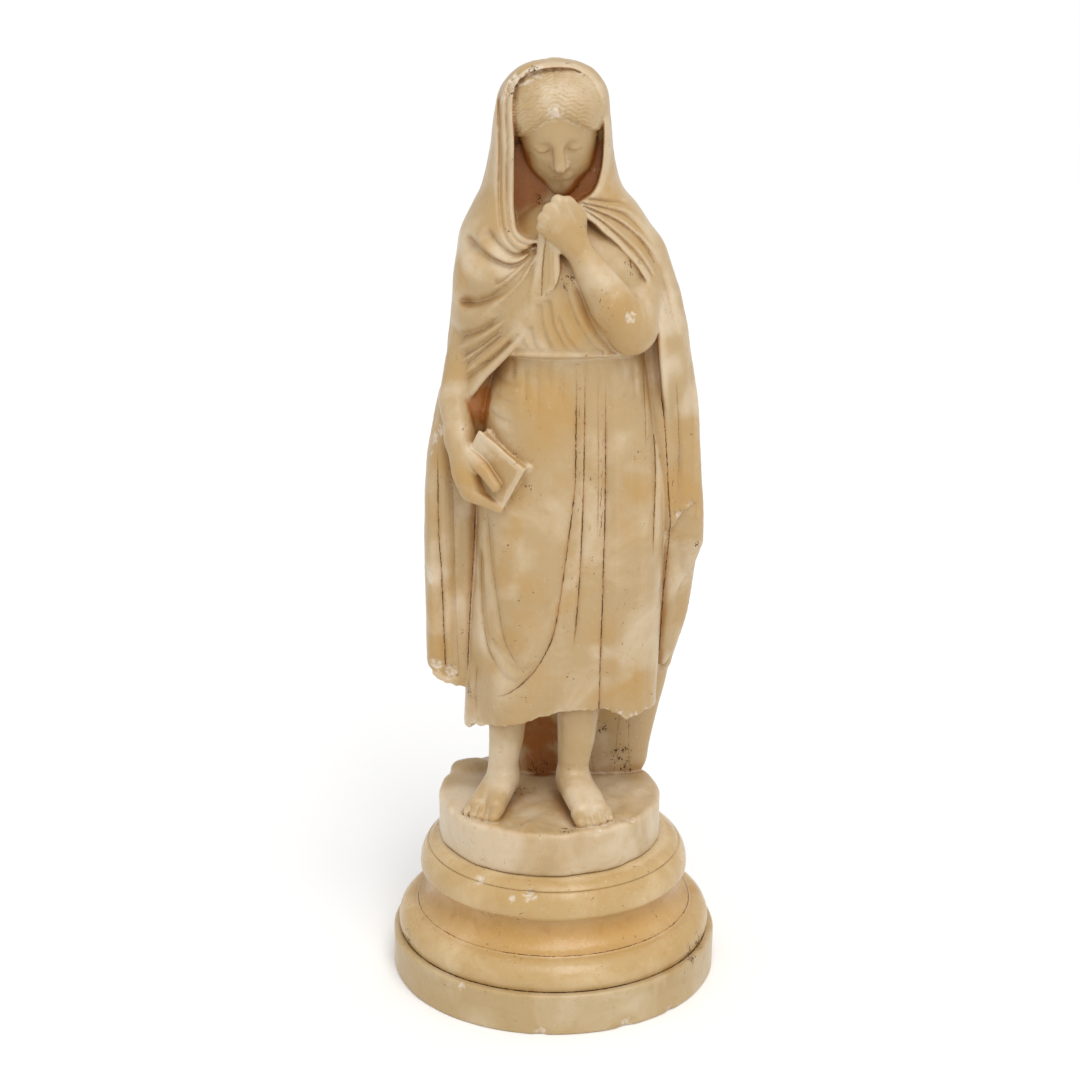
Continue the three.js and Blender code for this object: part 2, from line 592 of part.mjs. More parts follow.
function polygonise(distance, box, cell) {
  const size = box.getSize(new THREE.Vector3());
  const [nx, ny, nz] = [size.x, size.y, size.z].map((s) => Math.ceil(s / cell) + 1);
  const place = (i) => [
    box.min.x + (i % nx) * cell,
    box.min.y + (Math.floor(i / nx) % ny) * cell,
    box.min.z + Math.floor(i / (nx * ny)) * cell,
  ];
  const values = new Float64Array(nx * ny * nz);
  const half = (BLOCK * cell) / 2;
  for (let k = 0; k < nz; k += BLOCK)
    for (let j = 0; j < ny; j += BLOCK)
      for (let i = 0; i < nx; i += BLOCK) {
        const [x, y, z] = place(i + nx * (j + ny * k));
        const middle = distance(x + half, y + half, z + half);
        const far = Math.abs(middle) > 3.6 * half;
        for (let c = k; c < Math.min(k + BLOCK, nz); c++)
          for (let b = j; b < Math.min(j + BLOCK, ny); b++)
            for (let a = i; a < Math.min(i + BLOCK, nx); a++) {
              const at = a + nx * (b + ny * c);
              values[at] = far ? middle : distance(...place(at)) || 1e-9;
            }
      }

  const vertices = [];
  const faces = [];
  const known = new Map();
  const crossing = (a, b) => {
    const key = Math.min(a, b) * values.length + Math.max(a, b);
    if (!known.has(key)) {
      const t = Math.min(0.95, Math.max(0.05, values[a] / (values[a] - values[b])));
      const [pa, pb] = [place(a), place(b)];
      known.set(key, vertices.length);
      vertices.push(pa.map((v, k) => mix(v, pb[k], t)));
    }
    return known.get(key);
  };
  const offsets = [0, 1, 2, 3, 4, 5, 6, 7].map((c) => (c & 1) + ((c >> 1) & 1) * nx + (c >> 2) * nx * ny);
  for (let k = 0; k < nz - 1; k++)
    for (let j = 0; j < ny - 1; j++)
      for (let i = 0; i < nx - 1; i++) {
        const base = i + nx * (j + ny * k);
        const inside = offsets.reduce((n, o) => n + (values[base + o] < 0), 0);
        if (inside === 0 || inside === 8) continue;
        for (const tetrahedron of TETRAHEDRA) {
          const corner = tetrahedron.map((c) => base + offsets[c]);
          const mask = corner.reduce((m, c, n) => m | ((values[c] < 0) << n), 0);
          if (mask === 0 || mask === 15) continue;
          const pair = EVEN_PAIR[mask];
          if (pair) {
            const [a, b, c, d] = pair.map((n) => corner[n]);
            const quad = [crossing(a, c), crossing(a, d), crossing(b, d), crossing(b, c)];
            faces.push([quad[0], quad[1], quad[2]], [quad[0], quad[2], quad[3]]);
          } else {
            const lone = [1, 2, 4, 8].includes(mask);
            const first = Math.log2(lone ? mask : 15 - mask);
            const [a, b, c, d] = EVEN_FIRST[first].map((n) => corner[n]);
            const triangle = [crossing(a, b), crossing(a, c), crossing(a, d)];
            faces.push(lone ? triangle : triangle.reverse());
          }
        }
      }
  return { vertices, faces };
}

// Keeps only the largest connected piece, so no bubble is left inside
function largestPiece({ vertices, faces }) {
  const parent = vertices.map((_, i) => i);
  const find = (i) => {
    while (parent[i] !== i) i = parent[i] = parent[parent[i]];
    return i;
  };
  for (const [a, b, c] of faces) {
    parent[find(a)] = find(b);
    parent[find(b)] = find(c);
  }
  const counts = new Map();
  for (const [a] of faces) counts.set(find(a), (counts.get(find(a)) || 0) + 1);
  const biggest = [...counts].sort((p, q) => q[1] - p[1])[0][0];
  return { vertices, faces: faces.filter(([a]) => find(a) === biggest) };
}

// Edge collapse by quadric error: flat areas lose their triangles first, folds and fingers keep theirs
function faceNormal(p, q, r) {
  const [ux, uy, uz] = [q[0] - p[0], q[1] - p[1], q[2] - p[2]];
  const [vx, vy, vz] = [r[0] - p[0], r[1] - p[1], r[2] - p[2]];
  return [uy * vz - uz * vy, uz * vx - ux * vz, ux * vy - uy * vx];
}

function quadricError(q, [x, y, z]) {
  return (
    q[0] * x * x + 2 * q[1] * x * y + 2 * q[2] * x * z + 2 * q[3] * x + q[4] * y * y +
    2 * q[5] * y * z + 2 * q[6] * y + q[7] * z * z + 2 * q[8] * z + q[9]
  );
}

function bestPoint(q, p, r) {
  const [a, b, c, d, e, f, g, h, i] = q;
  const det = a * (e * h - f * f) - b * (b * h - f * c) + c * (b * f - e * c);
  const middle = p.map((v, k) => (v + r[k]) / 2);
  if (Math.abs(det) > 1e-4) {
    const x = -(d * (e * h - f * f) - b * (g * h - f * i) + c * (g * f - e * i)) / det;
    const y = -(a * (g * h - f * i) - d * (b * h - f * c) + c * (b * i - g * c)) / det;
    const z = -(a * (e * i - g * f) - b * (b * i - g * c) + d * (b * f - e * c)) / det;
    const span = length3(p[0] - r[0], p[1] - r[1], p[2] - r[2]);
    if (length3(x - middle[0], y - middle[1], z - middle[2]) < 2 * span) return [x, y, z];
  }
  return [p, r, middle].reduce((m, s) => (quadricError(q, s) < quadricError(q, m) ? s : m));
}

// A binary heap of edges, cheapest first
class EdgeHeap {
  items = [];

  push(item) {
    const list = this.items;
    let i = list.push(item) - 1;
    while (i > 0 && list[(i - 1) >> 1].cost > item.cost) {
      list[i] = list[(i - 1) >> 1];
      i = (i - 1) >> 1;
    }
    list[i] = item;
  }

  pop() {
    const list = this.items;
    const top = list[0];
    const item = list.pop();
    if (list.length === 0) return top;
    let i = 0;
    for (;;) {
      let child = 2 * i + 1;
      if (child >= list.length) break;
      if (child + 1 < list.length && list[child + 1].cost < list[child].cost) child++;
      if (list[child].cost >= item.cost) break;
      list[i] = list[child];
      i = child;
    }
    list[i] = item;
    return top;
  }
}

function simplify({ vertices, faces }, target) {
  const points = vertices.map((v) => [...v]);
  const live = faces.map((f) => [...f]);
  const around = points.map(() => []);
  const quadrics = points.map(() => new Array(10).fill(0));
  const stamp = new Uint32Array(points.length);
  live.forEach((f, index) => {
    const n = faceNormal(points[f[0]], points[f[1]], points[f[2]]);
    const area = length3(...n) || 1e-12;
    const [a, b, c] = n.map((v) => v / area);
    const d = -(a * points[f[0]][0] + b * points[f[0]][1] + c * points[f[0]][2]);
    const plane = [a * a, a * b, a * c, a * d, b * b, b * c, b * d, c * c, c * d, d * d];
    for (const v of f) {
      around[v].push(index);
      plane.forEach((value, k) => (quadrics[v][k] += value * area));
    }
  });
  const neighbours = (v) => {
    const ring = [];
    for (const f of around[v]) for (const u of live[f]) if (u !== v && !ring.includes(u)) ring.push(u);
    return ring;
  };
  const heap = new EdgeHeap();
  const offer = (a, b) => {
    const q = quadrics[a].map((v, k) => v + quadrics[b][k]);
    const point = bestPoint(q, points[a], points[b]);
    heap.push({ cost: quadricError(q, point), a, b, point, mark: stamp[a] + stamp[b] });
  };
  for (let v = 0; v < points.length; v++) for (const u of neighbours(v)) if (u > v) offer(v, u);

  const turns = (v, other, point) =>
    around[v].some((f) => {
      const face = live[f];
      if (face.includes(other)) return false;
      const [p, q, r] = face.map((u) => points[u]);
      const before = faceNormal(p, q, r);
      const after = faceNormal(...face.map((u) => (u === v ? point : points[u])));
      const dot = before[0] * after[0] + before[1] * after[1] + before[2] * after[2];
      return dot < 0.25 * length3(...before) * length3(...after);
    });
  let count = live.length;
  while (count > target && heap.items.length) {
    const { a, b, point, mark } = heap.pop();
    if (!around[a].length || !around[b].length || mark !== stamp[a] + stamp[b]) continue;
    const beside = neighbours(b);
    const shared = neighbours(a).filter((u) => beside.includes(u));
    if (shared.length !== 2 || turns(a, b, point) || turns(b, a, point)) continue;
    for (const f of around[b]) {
      if (live[f].includes(a)) {
        for (const v of live[f]) if (v !== b) around[v] = around[v].filter((g) => g !== f);
        count--;
        live[f] = null;
      } else {
        live[f] = live[f].map((v) => (v === b ? a : v));
        around[a].push(f);
      }
    }
    around[b] = [];
    points[a] = point;
    quadrics[a] = quadrics[a].map((v, k) => v + quadrics[b][k]);
    stamp[a]++;
    stamp[b]++;
    for (const u of neighbours(a)) offer(a, u);
  }
  const kept = live.filter(Boolean);
  const used = [...new Set(kept.flat())];
  const order = new Map(used.map((v, i) => [v, i]));
  return { vertices: used.map((v) => points[v]), faces: kept.map((f) => f.map((v) => order.get(v))) };
}

// Turned pieces: a profile from the axis out and back to the axis, lathed about +Z
function turned(profile) {
  const geometry = new THREE.LatheGeometry(profile, LATHE_SIDES).rotateX(Math.PI / 2);
  geometry.deleteAttribute('normal');
  geometry.deleteAttribute('uv');
  return mergeVertices(geometry, 1e-4);
}

function drumGeometry() {
  const path = new THREE.Path();
  path.moveTo(0, DRUM.bottom);
  path.lineTo(DRUM.radius - DRUM.edge / 3, DRUM.bottom);
  path.lineTo(DRUM.radius, DRUM.bottom + DRUM.edge / 3);
  path.lineTo(DRUM.radius, DRUM.top - DRUM.edge);
  path.absarc(DRUM.radius - DRUM.edge, DRUM.top - DRUM.edge, DRUM.edge, 0, Math.PI / 2, false);
  path.lineTo(0, DRUM.top);
  return turned(path.getPoints(1)).translate(DRUM.x, 0, 0);
}

// The carved figure and its drum are one stone: the two closed surfaces are joined into one
function solid(geometry) {
  const welded = mergeVertices(geometry, 1e-4);
  const mesh = new wasm.Mesh({
    numProp: 3,
    vertProperties: new Float32Array(welded.attributes.position.array),
    triVerts: new Uint32Array(welded.index.array),
  });
  return new wasm.Manifold(mesh);
}

function figureGeometry() {
  const low = new THREE.Vector3(-61, -52, ROOT - CELL);
  const high = new THREE.Vector3(69, 44, HOOD_TOP + 3);
  const box = new THREE.Box3(low, high);
  const surface = simplify(largestPiece(polygonise(figureDistance, box, CELL)), FIGURE_TRIANGLES);
  const carved = new THREE.BufferGeometry();
  carved.setAttribute('position', new THREE.Float32BufferAttribute(surface.vertices.flat(), 3));
  carved.setIndex(surface.faces.flat());
  const joined = solid(carved).add(solid(drumGeometry())).getMesh();
  const geometry = new THREE.BufferGeometry();
  geometry.setAttribute('position', new THREE.BufferAttribute(joined.vertProperties, 3));
  geometry.setIndex(new THREE.BufferAttribute(joined.triVerts, 1));
  geometry.computeVertexNormals();
  return geometry;
}

function plinthGeometry() {
  const path = new THREE.Path();
  path.moveTo(0, 0);
  path.lineTo(PLINTH_RADIUS - PLINTH_EDGE, 0);
  path.lineTo(PLINTH_RADIUS, PLINTH_EDGE);
  path.lineTo(PLINTH_RADIUS, PLINTH_HEIGHT - PLINTH_EDGE);
  path.lineTo(PLINTH_RADIUS - PLINTH_EDGE, PLINTH_HEIGHT);
  path.lineTo(0, PLINTH_HEIGHT);
  return turned(path.getPoints(1));
}

function socleGeometry() {
  const lower = LOWER_TORUS;
  const upper = UPPER_TORUS;
  const path = new THREE.Path();
  path.moveTo(0, PLINTH_HEIGHT);
  path.lineTo(SOCLE_FOOT_RADIUS, PLINTH_HEIGHT);
  path.absellipse(lower.r, lower.z, lower.width, lower.height, -0.25, Math.PI / 2, false);
  path.lineTo(lower.r - QUIRK_DEPTH, lower.z + lower.height + QUIRK_DEPTH);
  path.bezierCurveTo(
    SCOTIA_WAIST_RADIUS + 2, lower.z + lower.height + 2,
    SCOTIA_WAIST_RADIUS - 1, upper.z - upper.drop - 4,
    upper.r + 3, upper.z - upper.drop,
  );
  path.absellipse(upper.r, upper.z, upper.width, upper.drop, -1.2, 0, false);
  const quirk = Math.asin((QUIRK_HEIGHT - upper.z) / upper.rise);
  path.absellipse(upper.r, upper.z, upper.width, upper.rise, 0, quirk, false);
  path.lineTo(path.currentPoint.x - 1.6 * QUIRK_DEPTH, QUIRK_HEIGHT + 0.2 * QUIRK_DEPTH);
  path.absellipse(upper.r, upper.z, upper.width - QUIRK_DEPTH / 2, upper.rise, quirk + 0.08, 1.45, false);
  path.lineTo(upper.r, SOCLE_TOP);
  path.lineTo(0, SOCLE_TOP);
  return turned(path.getPoints(3));
}

// The three pieces and their stone
const PALE_ALABASTER = new THREE.MeshStandardMaterial({ color: 0xe0cba5, roughness: 0.42, metalness: 0 });
const HONEY_ALABASTER = new THREE.MeshStandardMaterial({ color: 0xd9bd8b, roughness: 0.38, metalness: 0 });
const GREY_ALABASTER = new THREE.MeshStandardMaterial({ color: 0xd3c19c, roughness: 0.45, metalness: 0 });

function piece(name, geometry, material) {
  const mesh = new THREE.Mesh(geometry, material);
  mesh.name = name;
  return mesh;
}

const statue = new THREE.Group();
statue.add(piece('plinth_disc', plinthGeometry(), GREY_ALABASTER));
statue.add(piece('moulded_socle', socleGeometry(), HONEY_ALABASTER));
statue.add(piece('figure', figureGeometry(), PALE_ALABASTER));

export default statue;
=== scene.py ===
"""A veiled alabaster figure on its drum, socle and plinth, carved and finished around the CAD frame."""
import math

import bpy
import numpy as np
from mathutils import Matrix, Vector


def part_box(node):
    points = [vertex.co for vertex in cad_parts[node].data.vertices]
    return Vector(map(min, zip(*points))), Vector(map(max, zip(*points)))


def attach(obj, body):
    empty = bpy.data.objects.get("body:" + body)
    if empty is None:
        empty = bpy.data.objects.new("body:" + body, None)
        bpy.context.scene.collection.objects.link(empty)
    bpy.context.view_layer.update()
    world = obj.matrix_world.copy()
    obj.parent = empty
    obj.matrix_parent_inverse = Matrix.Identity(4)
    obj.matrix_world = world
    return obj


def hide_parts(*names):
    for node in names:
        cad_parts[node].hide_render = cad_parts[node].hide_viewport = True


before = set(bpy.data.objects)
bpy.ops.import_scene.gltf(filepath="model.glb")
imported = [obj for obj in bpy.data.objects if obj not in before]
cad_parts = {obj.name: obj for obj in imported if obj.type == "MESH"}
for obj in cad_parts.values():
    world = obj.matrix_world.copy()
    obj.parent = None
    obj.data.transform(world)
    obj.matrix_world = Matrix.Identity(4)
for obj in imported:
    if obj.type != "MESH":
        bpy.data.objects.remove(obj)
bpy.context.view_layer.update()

# Corners of the stones' boxes, taken from the frame in millimetres
MM = 0.001
PLINTH_HIGH = np.array(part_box("plinth_disc")[1]) / MM
SOCLE_HIGH = np.array(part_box("moulded_socle")[1]) / MM
FIGURE_LOW, FIGURE_HIGH = (np.array(corner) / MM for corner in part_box("figure"))

# Sampling: cell sizes of the carving grid and the fold maps, and how many triangles the figure keeps
CELL = 0.56
MAP_CELL = 0.3
FIGURE_TRIANGLES = 196_000
# Cells along a block's side, how many half blocks from the surface a block counts as near, points at once
BLOCK = 4
NEAR_SURFACE = 3.6
CHUNK = 400_000

# Driving dimensions of the figure, in millimetres
DRUM = {"x": -1.8, "radius": 50.2, "bottom": FIGURE_LOW[2], "top": FIGURE_LOW[2] + 20}
ROOT = DRUM["top"] - 5
BELT_HEIGHT = 286
HOOD_TOP = FIGURE_HIGH[2]
HEAD = {"x": 1.4, "y": -6.5, "z": 376.5, "bow": math.radians(28), "tilt": math.radians(5)}
BOOK = {
    "at": (-24.8, -28, 238.4),
    "half": (13.5, 3.5, 11),
    "slope": math.radians(31),
    "turn": math.radians(35),
}


# Scalar helpers on arrays
def mix(a, b, t):
    return a + (b - a) * t


def ease(low, high, value):
    """0 at low and 1 at high, smooth in between."""
    t = np.clip((value - low) / (high - low), 0, 1)
    return t * t * (3 - 2 * t)


def join(a, b, k):
    """Both forms together, the seam between them filled over a width of k."""
    h = np.maximum(k - np.abs(a - b), 0) / k
    return np.minimum(a, b) - h * h * k * 0.25


def cut(a, b, k):
    """What lies inside both forms, the new edge rounded over a width of k."""
    return -join(-a, -b, k)


def length(*parts):
    return np.sqrt(sum(part * part for part in parts))


# Distances to simple forms; p is a tuple of coordinate arrays
def ellipsoid(p, centre, radii):
    scaled = [(c - m) / r for c, m, r in zip(p, centre, radii)]
    near = length(*scaled)
    slope = length(*(s / r for s, r in zip(scaled, radii)))
    return near * (near - 1) / np.maximum(slope, 1e-6)


def limb(p, joints):
    best = None
    for (ax, ay, az, ar), (bx, by, bz, br) in zip(joints, joints[1:]):
        dx, dy, dz = bx - ax, by - ay, bz - az
        t = ((p[0] - ax) * dx + (p[1] - ay) * dy + (p[2] - az) * dz) / (dx * dx + dy * dy + dz * dz)
        t = np.clip(t, 0, 1)
        d = length(p[0] - ax - t * dx, p[1] - ay - t * dy, p[2] - az - t * dz) - mix(ar, br, t)
        best = d if best is None else np.minimum(best, d)
    return best


def round_box(p, half, rounding):
    q = [np.abs(c) - h + rounding for c, h in zip(p, half)]
    outside = length(*(np.maximum(c, 0) for c in q))
    return outside + np.minimum(np.maximum(np.maximum(q[0], q[1]), q[2]), 0) - rounding


# Marks of the hand and of age
def ripple(p, wavelength, seed):
    """Gentle unevenness between about -1 and 1: plane waves in seeded directions."""
    random = np.random.default_rng(seed)
    total = 0
    for _ in range(5):
        direction = random.normal(size=3)
        direction *= 2 * np.pi / wavelength * random.uniform(0.7, 1.4) / np.linalg.norm(direction)
        phase = random.uniform(0, 2 * np.pi)
        total = total + np.sin(sum(c * float(turn) for c, turn in zip(p, direction)) + phase)
    return total / 3


def unevenness(p, layers, under=0):
    """Ripples added to what lies under them, each given as a depth, a wavelength and a seed."""
    return sum((depth * ripple(p, wavelength, seed) for depth, wavelength, seed in layers), under)


# Knocks and chips, whitish where the stone is bruised: x, y, z, radius and depth
WEAR = [
    (-17, -17, 395, 6.5, 0.7), (-12, -20, 397.5, 6.5, 0.7), (-8, -19.5, 399.6, 6, 0.5),
    (-21, -16, 389, 5, 0.5),
    (-0.2, -26.6, 384, 5, 0.25), (30, -39.4, 303.6, 4.2, 0.4),
    (-51, -6, 246.3, 5, 0.8), (-48.5, -8.7, 250.4, 4, 0.6), (-54, -8, 240, 3.5, 0.5),
    (-54.5, -9, 186, 6, 0.6),
    (-52, -9, 145, 5, 1.2), (-45.6, -9.7, 142, 5, 1.2), (-39.5, -4, 136, 5, 1),
    (22, -23, 128, 4, 0.8), (29, -22, 125.5, 5, 1), (36, -19, 124, 5, 1), (43, -14, 125, 5, 0.8),
    (-36, -12, 118, 4, 0.8),
    (53.8, -9.4, 213, 3, 0.5), (58.3, -8.5, 218, 3, 0.5), (-6, -35, 312, 3, 0.4),
    (33, -32, 82.5, 4, 1.2), (19.7, -45, 82, 4, 1), (-30, -42, 82.5, 3, 0.8), (-45, -24, 82.5, 3.5, 0.8),
    (-10.4, -56.8, 57.9, 4.5, 1), (-32, -45.8, 59.6, 3.5, 0.7), (-18, -56, 56, 3, 0.5),
    (30.5, -65.3, 0.6, 5, 1.3), (-6, -72.5, 1.5, 3.5, 0.8), (50, -52, 1, 3, 0.7), (-40, -60, 17, 3, 0.6),
]
# Places where the stone is golden: x, y, z and radius
GOLD = [
    (-41, -8, 316, 13), (57, -8, 250, 12), (54, -10, 224, 10), (-8, -36.5, 188, 11), (19, -26, 171, 13),
    (-52, -9, 152, 9), (14, -14, 399, 8), (-53, -9, 215, 10), (37, -17, 136, 12), (34, -20, 328, 10),
    (-18, -31, 164, 9), (25, -32, 150, 10), (6, -34, 300, 15), (-2, -36, 262, 22),
]
# Places where it is milky: x, y, z and radius
MILK = [
    (1, -24, 387, 12), (-1, -35, 344, 12), (-18, -28, 328, 15), (45, -14, 300, 14), (-50, -9, 188, 8),
    (56, -6, 262, 14), (-30, -26, 245, 10), (-20, -18, 100, 16), (12, -30, 88, 12), (52, 8, 180, 16),
]
# Deep places with a reddish brown stain: x, y, z and radius
STAINS = [
    (-8, 18, 104, 19), (11, 18, 106, 13), (-6, 18, 90, 13), (-11, -6, 352, 13), (-13, -8, 366, 10),
    (14.5, -7, 366, 9.5), (12, -7, 352, 12), (-31, -14, 262, 11),
]
# Places where dark grains of dirt gather: x, y, z and radius
GRIME = [
    (-12, -2, 348.5, 5), (-7, -8, 347, 4), (9, -6, 354, 5), (12, -9, 359, 4), (28.5, -24, 322, 4),
    (5, -33, 317, 5),
    (-9, -18.5, 400.5, 4.5), (5, -15, 401.5, 3), (-17, -21, 391, 3.5), (-14.5, -10, 372, 8),
    (18, -12, 372, 7),
    (31, 17, 92, 8), (21, 15, 107, 6), (34, 18, 85, 6), (-7, 17, 85, 8), (48, -5, 211, 4), (63, -6, 199, 4),
    (-36, -10, 134, 5), (5, -44, 82, 5), (-38, -28, 82, 5), (-14, -2, 82, 9), (9, -3, 82, 9),
    (-66, -26, 22, 7), (64, -28, 22, 7), (60, -38, 20, 8), (-55, -30, 40, 8),
]


def spot(p, place):
    """How far into a round spot each point is: 1 in the middle, 0 from its radius on."""
    away = length(*(c - m for c, m in zip(p, place))) / place[3]
    return ease(1, 0.35, away)


def chipping(p):
    """Depth knocked off at each point."""
    depth = np.zeros_like(p[0])
    first, last = p[0].min(), p[0].max()
    for place in WEAR:
        if first - place[3] < place[0] < last + place[3]:
            depth += place[4] * spot(p, place)
    return depth * (0.75 + 0.35 * ripple(p, 3.5, 5))


def deepest_spot(p, places):
    return np.max([spot(p, place) for place in places], axis=0)


# A column of cloth: sections [height, left, right, front, back], joined smoothly up the height
SECTION_STEP = 0.25
ROUNDNESS = 2.35
# Keeps the distance to a column's side from being overrated
SIDE_CAUTION = 0.85


def smooth_sections(sections):
    rows = np.array(sections, float)
    heights = rows[:, 0]
    slopes = np.empty_like(rows)
    slopes[1:-1] = (rows[2:] - rows[:-2]) / (heights[2:] - heights[:-2])[:, None]
    slopes[0] = (rows[1] - rows[0]) / (heights[1] - heights[0])
    slopes[-1] = (rows[-1] - rows[-2]) / (heights[-1] - heights[-2])
    z = np.arange(heights[0], heights[-1] + SECTION_STEP, SECTION_STEP)
    i = np.clip(np.searchsorted(heights, z, side="right") - 1, 0, len(rows) - 2)
    span = (heights[i + 1] - heights[i])[:, None]
    t = ((z - heights[i])[:, None] / span).clip(0, 1)
    a, b = rows[i], rows[i + 1]
    sa, sb = slopes[i] * span, slopes[i + 1] * span
    curve = a + t * (sa + t * (3 * (b - a) - 2 * sa - sb + t * (2 * (a - b) + sa + sb)))
    return z, curve[:, 1:].T


def column(p, smooth, cap_round, power=ROUNDNESS):
    heights, sides = smooth
    left, right, front, back = (np.interp(p[2], heights, side) for side in sides)
    dx = p[0] - (left + right) / 2
    dy = p[1] - (front + back) / 2
    u = np.abs(dx) / ((right - left) / 2)
    v = np.abs(dy) / ((back - front) / 2)
    q = np.maximum((u ** power + v ** power) ** (1 / power), 1e-3)
    reach = length(dx, dy)
    side = (reach - reach / q) * SIDE_CAUTION
    return cut(side, np.maximum(heights[0] - p[2], p[2] - heights[-1]), cap_round)


# Maps in the front view: one value at each place of a fine x and z grid
MAP_X = np.arange(-64, 72, MAP_CELL)
MAP_Z = np.arange(70, 410, MAP_CELL)
GRID_X, GRID_Z = np.meshgrid(MAP_X, MAP_Z, indexing="ij")


def read_map(values, x, z):
    u = np.clip((x - MAP_X[0]) / MAP_CELL, 0, len(MAP_X) - 1.001)
    v = np.clip((z - MAP_Z[0]) / MAP_CELL, 0, len(MAP_Z) - 1.001)
    i, j = u.astype(np.int32), v.astype(np.int32)
    s, t = u - i, v - j
    low = mix(values[i, j], values[i + 1, j], s)
    high = mix(values[i, j + 1], values[i + 1, j + 1], s)
    return mix(low, high, t)


def spline(points, closed=False, steps=6):
    """A smooth curve that passes through every point."""
    p = np.array(points, float)
    p = np.vstack([p[-1], p, p[0], p[1]]) if closed else np.vstack([2 * p[0] - p[1], p, 2 * p[-1] - p[-2]])
    t = (np.arange(steps) / steps)[:, None]
    runs = [
        0.5 * (2 * b + (c - a) * t + (2 * a - 5 * b + 4 * c - d) * t ** 2 + (3 * b - a - 3 * c + d) * t ** 3)
        for a, b, c, d in zip(p, p[1:], p[2:], p[3:])
    ]
    return np.vstack(runs if closed else runs + [p[-2]])


def outline_map(points):
    """Signed distance to a closed outline, negative inside."""
    line = spline(points, closed=True)
    best = np.full(GRID_X.shape, 1e9)
    inside = np.zeros(GRID_X.shape, bool)
    for (ax, az), (bx, bz) in zip(line, np.roll(line, -1, axis=0)):
        dx, dz = bx - ax, bz - az
        t = np.clip(((GRID_X - ax) * dx + (GRID_Z - az) * dz) / (dx * dx + dz * dz + 1e-9), 0, 1)
        best = np.minimum(best, length(GRID_X - ax - t * dx, GRID_Z - az - t * dz))
        crosses = (az > GRID_Z) != (bz > GRID_Z)
        inside ^= crosses & (GRID_X < ax + (GRID_Z - az) / (dz if dz else 1e-9) * dx)
    return np.where(inside, -best, best).astype(np.float32)


# A fold's round floor as a share of its width, how many widths it reaches, and an incised line's half width
CREASE_FLOOR = 0.3
CREASE_REACH = 5
INCISION = 0.5
# The distance that stands for no line at all
FAR_FROM_LINE = 9


def crease(line, depth, left, right=None, fade=(0.15, 0.15), flare=(1, 1), incised=0, dirt=0):
    """A fold line: its depth, its width on each side, how its ends fade and widen, and its dirt."""
    return {"line": line, "depth": depth, "left": left, "right": right or left, "fade": fade, "flare": flare,
            "incised": incised, "dirt": dirt}


def crease_maps(creases):
    """Carved depth at each place, with the signed distance to the nearest dirty line and its dirt."""
    deep = np.zeros(GRID_X.shape)
    high = np.zeros(GRID_X.shape)
    nearest = np.full(GRID_X.shape, float(FAR_FROM_LINE))
    offset = np.full(GRID_X.shape, float(FAR_FROM_LINE))
    dirt = np.zeros(GRID_X.shape)
    for c in creases:
        line = spline(c["line"])
        widest = max(c["left"], c["right"]) * max(c["flare"])
        margin = max(CREASE_REACH * widest, FAR_FROM_LINE if c["dirt"] else 0)
        i0, i1 = np.searchsorted(MAP_X, [line[:, 0].min() - margin, line[:, 0].max() + margin])
        j0, j1 = np.searchsorted(MAP_Z, [line[:, 1].min() - margin, line[:, 1].max() + margin])
        here = (slice(i0, i1), slice(j0, j1))
        x, z = GRID_X[here], GRID_Z[here]
        best = np.full(x.shape, 1e9)
        along = np.zeros(x.shape)
        side = np.zeros(x.shape)
        steps = len(line) - 1
        for n, ((ax, az), (bx, bz)) in enumerate(zip(line, line[1:])):
            dx, dz = bx - ax, bz - az
            t = np.clip(((x - ax) * dx + (z - az) * dz) / (dx * dx + dz * dz), 0, 1)
            d = length(x - ax - t * dx, z - az - t * dz)
            nearer = d < best
            best = np.where(nearer, d, best)
            along = np.where(nearer, (n + t) / steps, along)
            side = np.where(nearer, dx * (z - az) - dz * (x - ax), side)
        ends = ease(0, c["fade"][0], along) * ease(0, c["fade"][1], 1 - along)
        width = np.where(side > 0, c["left"], c["right"]) * mix(*c["flare"], along)
        away = length(best, CREASE_FLOOR * width) - CREASE_FLOOR * width
        cutting = c["depth"] * np.exp(-away / width)
        cutting = ends * (cutting + c["incised"] * np.exp(-(best / INCISION) ** 2))
        deep[here] = np.maximum(deep[here], cutting)
        high[here] = np.minimum(high[here], cutting)
        if c["dirt"]:
            closer = best < nearest[here]
            nearest[here] = np.where(closer, best, nearest[here])
            offset[here] = np.where(closer, np.copysign(best, side), offset[here])
            dirt[here] = np.where(closer, c["dirt"] * ends, dirt[here])
    maps = {"depth": deep + high, "offset": offset, "dirt": dirt}
    return {name: values.astype(np.float32) for name, values in maps.items()}


# Gown: a skirt from the belt to the hem, over a bent right leg and a straight left one
GOWN = smooth_sections([
    [108, -40, 46, -22, 22],
    [125, -39.6, 45.4, -24, 22],
    [150, -38.5, 46.2, -28, 25],
    [190, -35.5, 47, -32.5, 28],
    [230, -32.5, 48, -34, 29],
    [262, -29, 44, -32, 28],
    [288, -24, 38, -29.5, 25],
])
BENT_LEG = [(-8, -13, 258, 18.5), (-10.5, -19, 186, 17), (-17, -17, 128, 11)]
HEM = np.array([
    [-42, 113.5], [-36, 116.5], [-30, 120.5], [-20, 123], [-9, 126],
    [10, 129.5], [24, 128.5], [32, 122.5], [38, 125], [46, 125],
]).T
HEM_RAGGED = [(0.5, 7, 11), (0.35, 3, 12)]
GOWN_FADE = (6, -6)
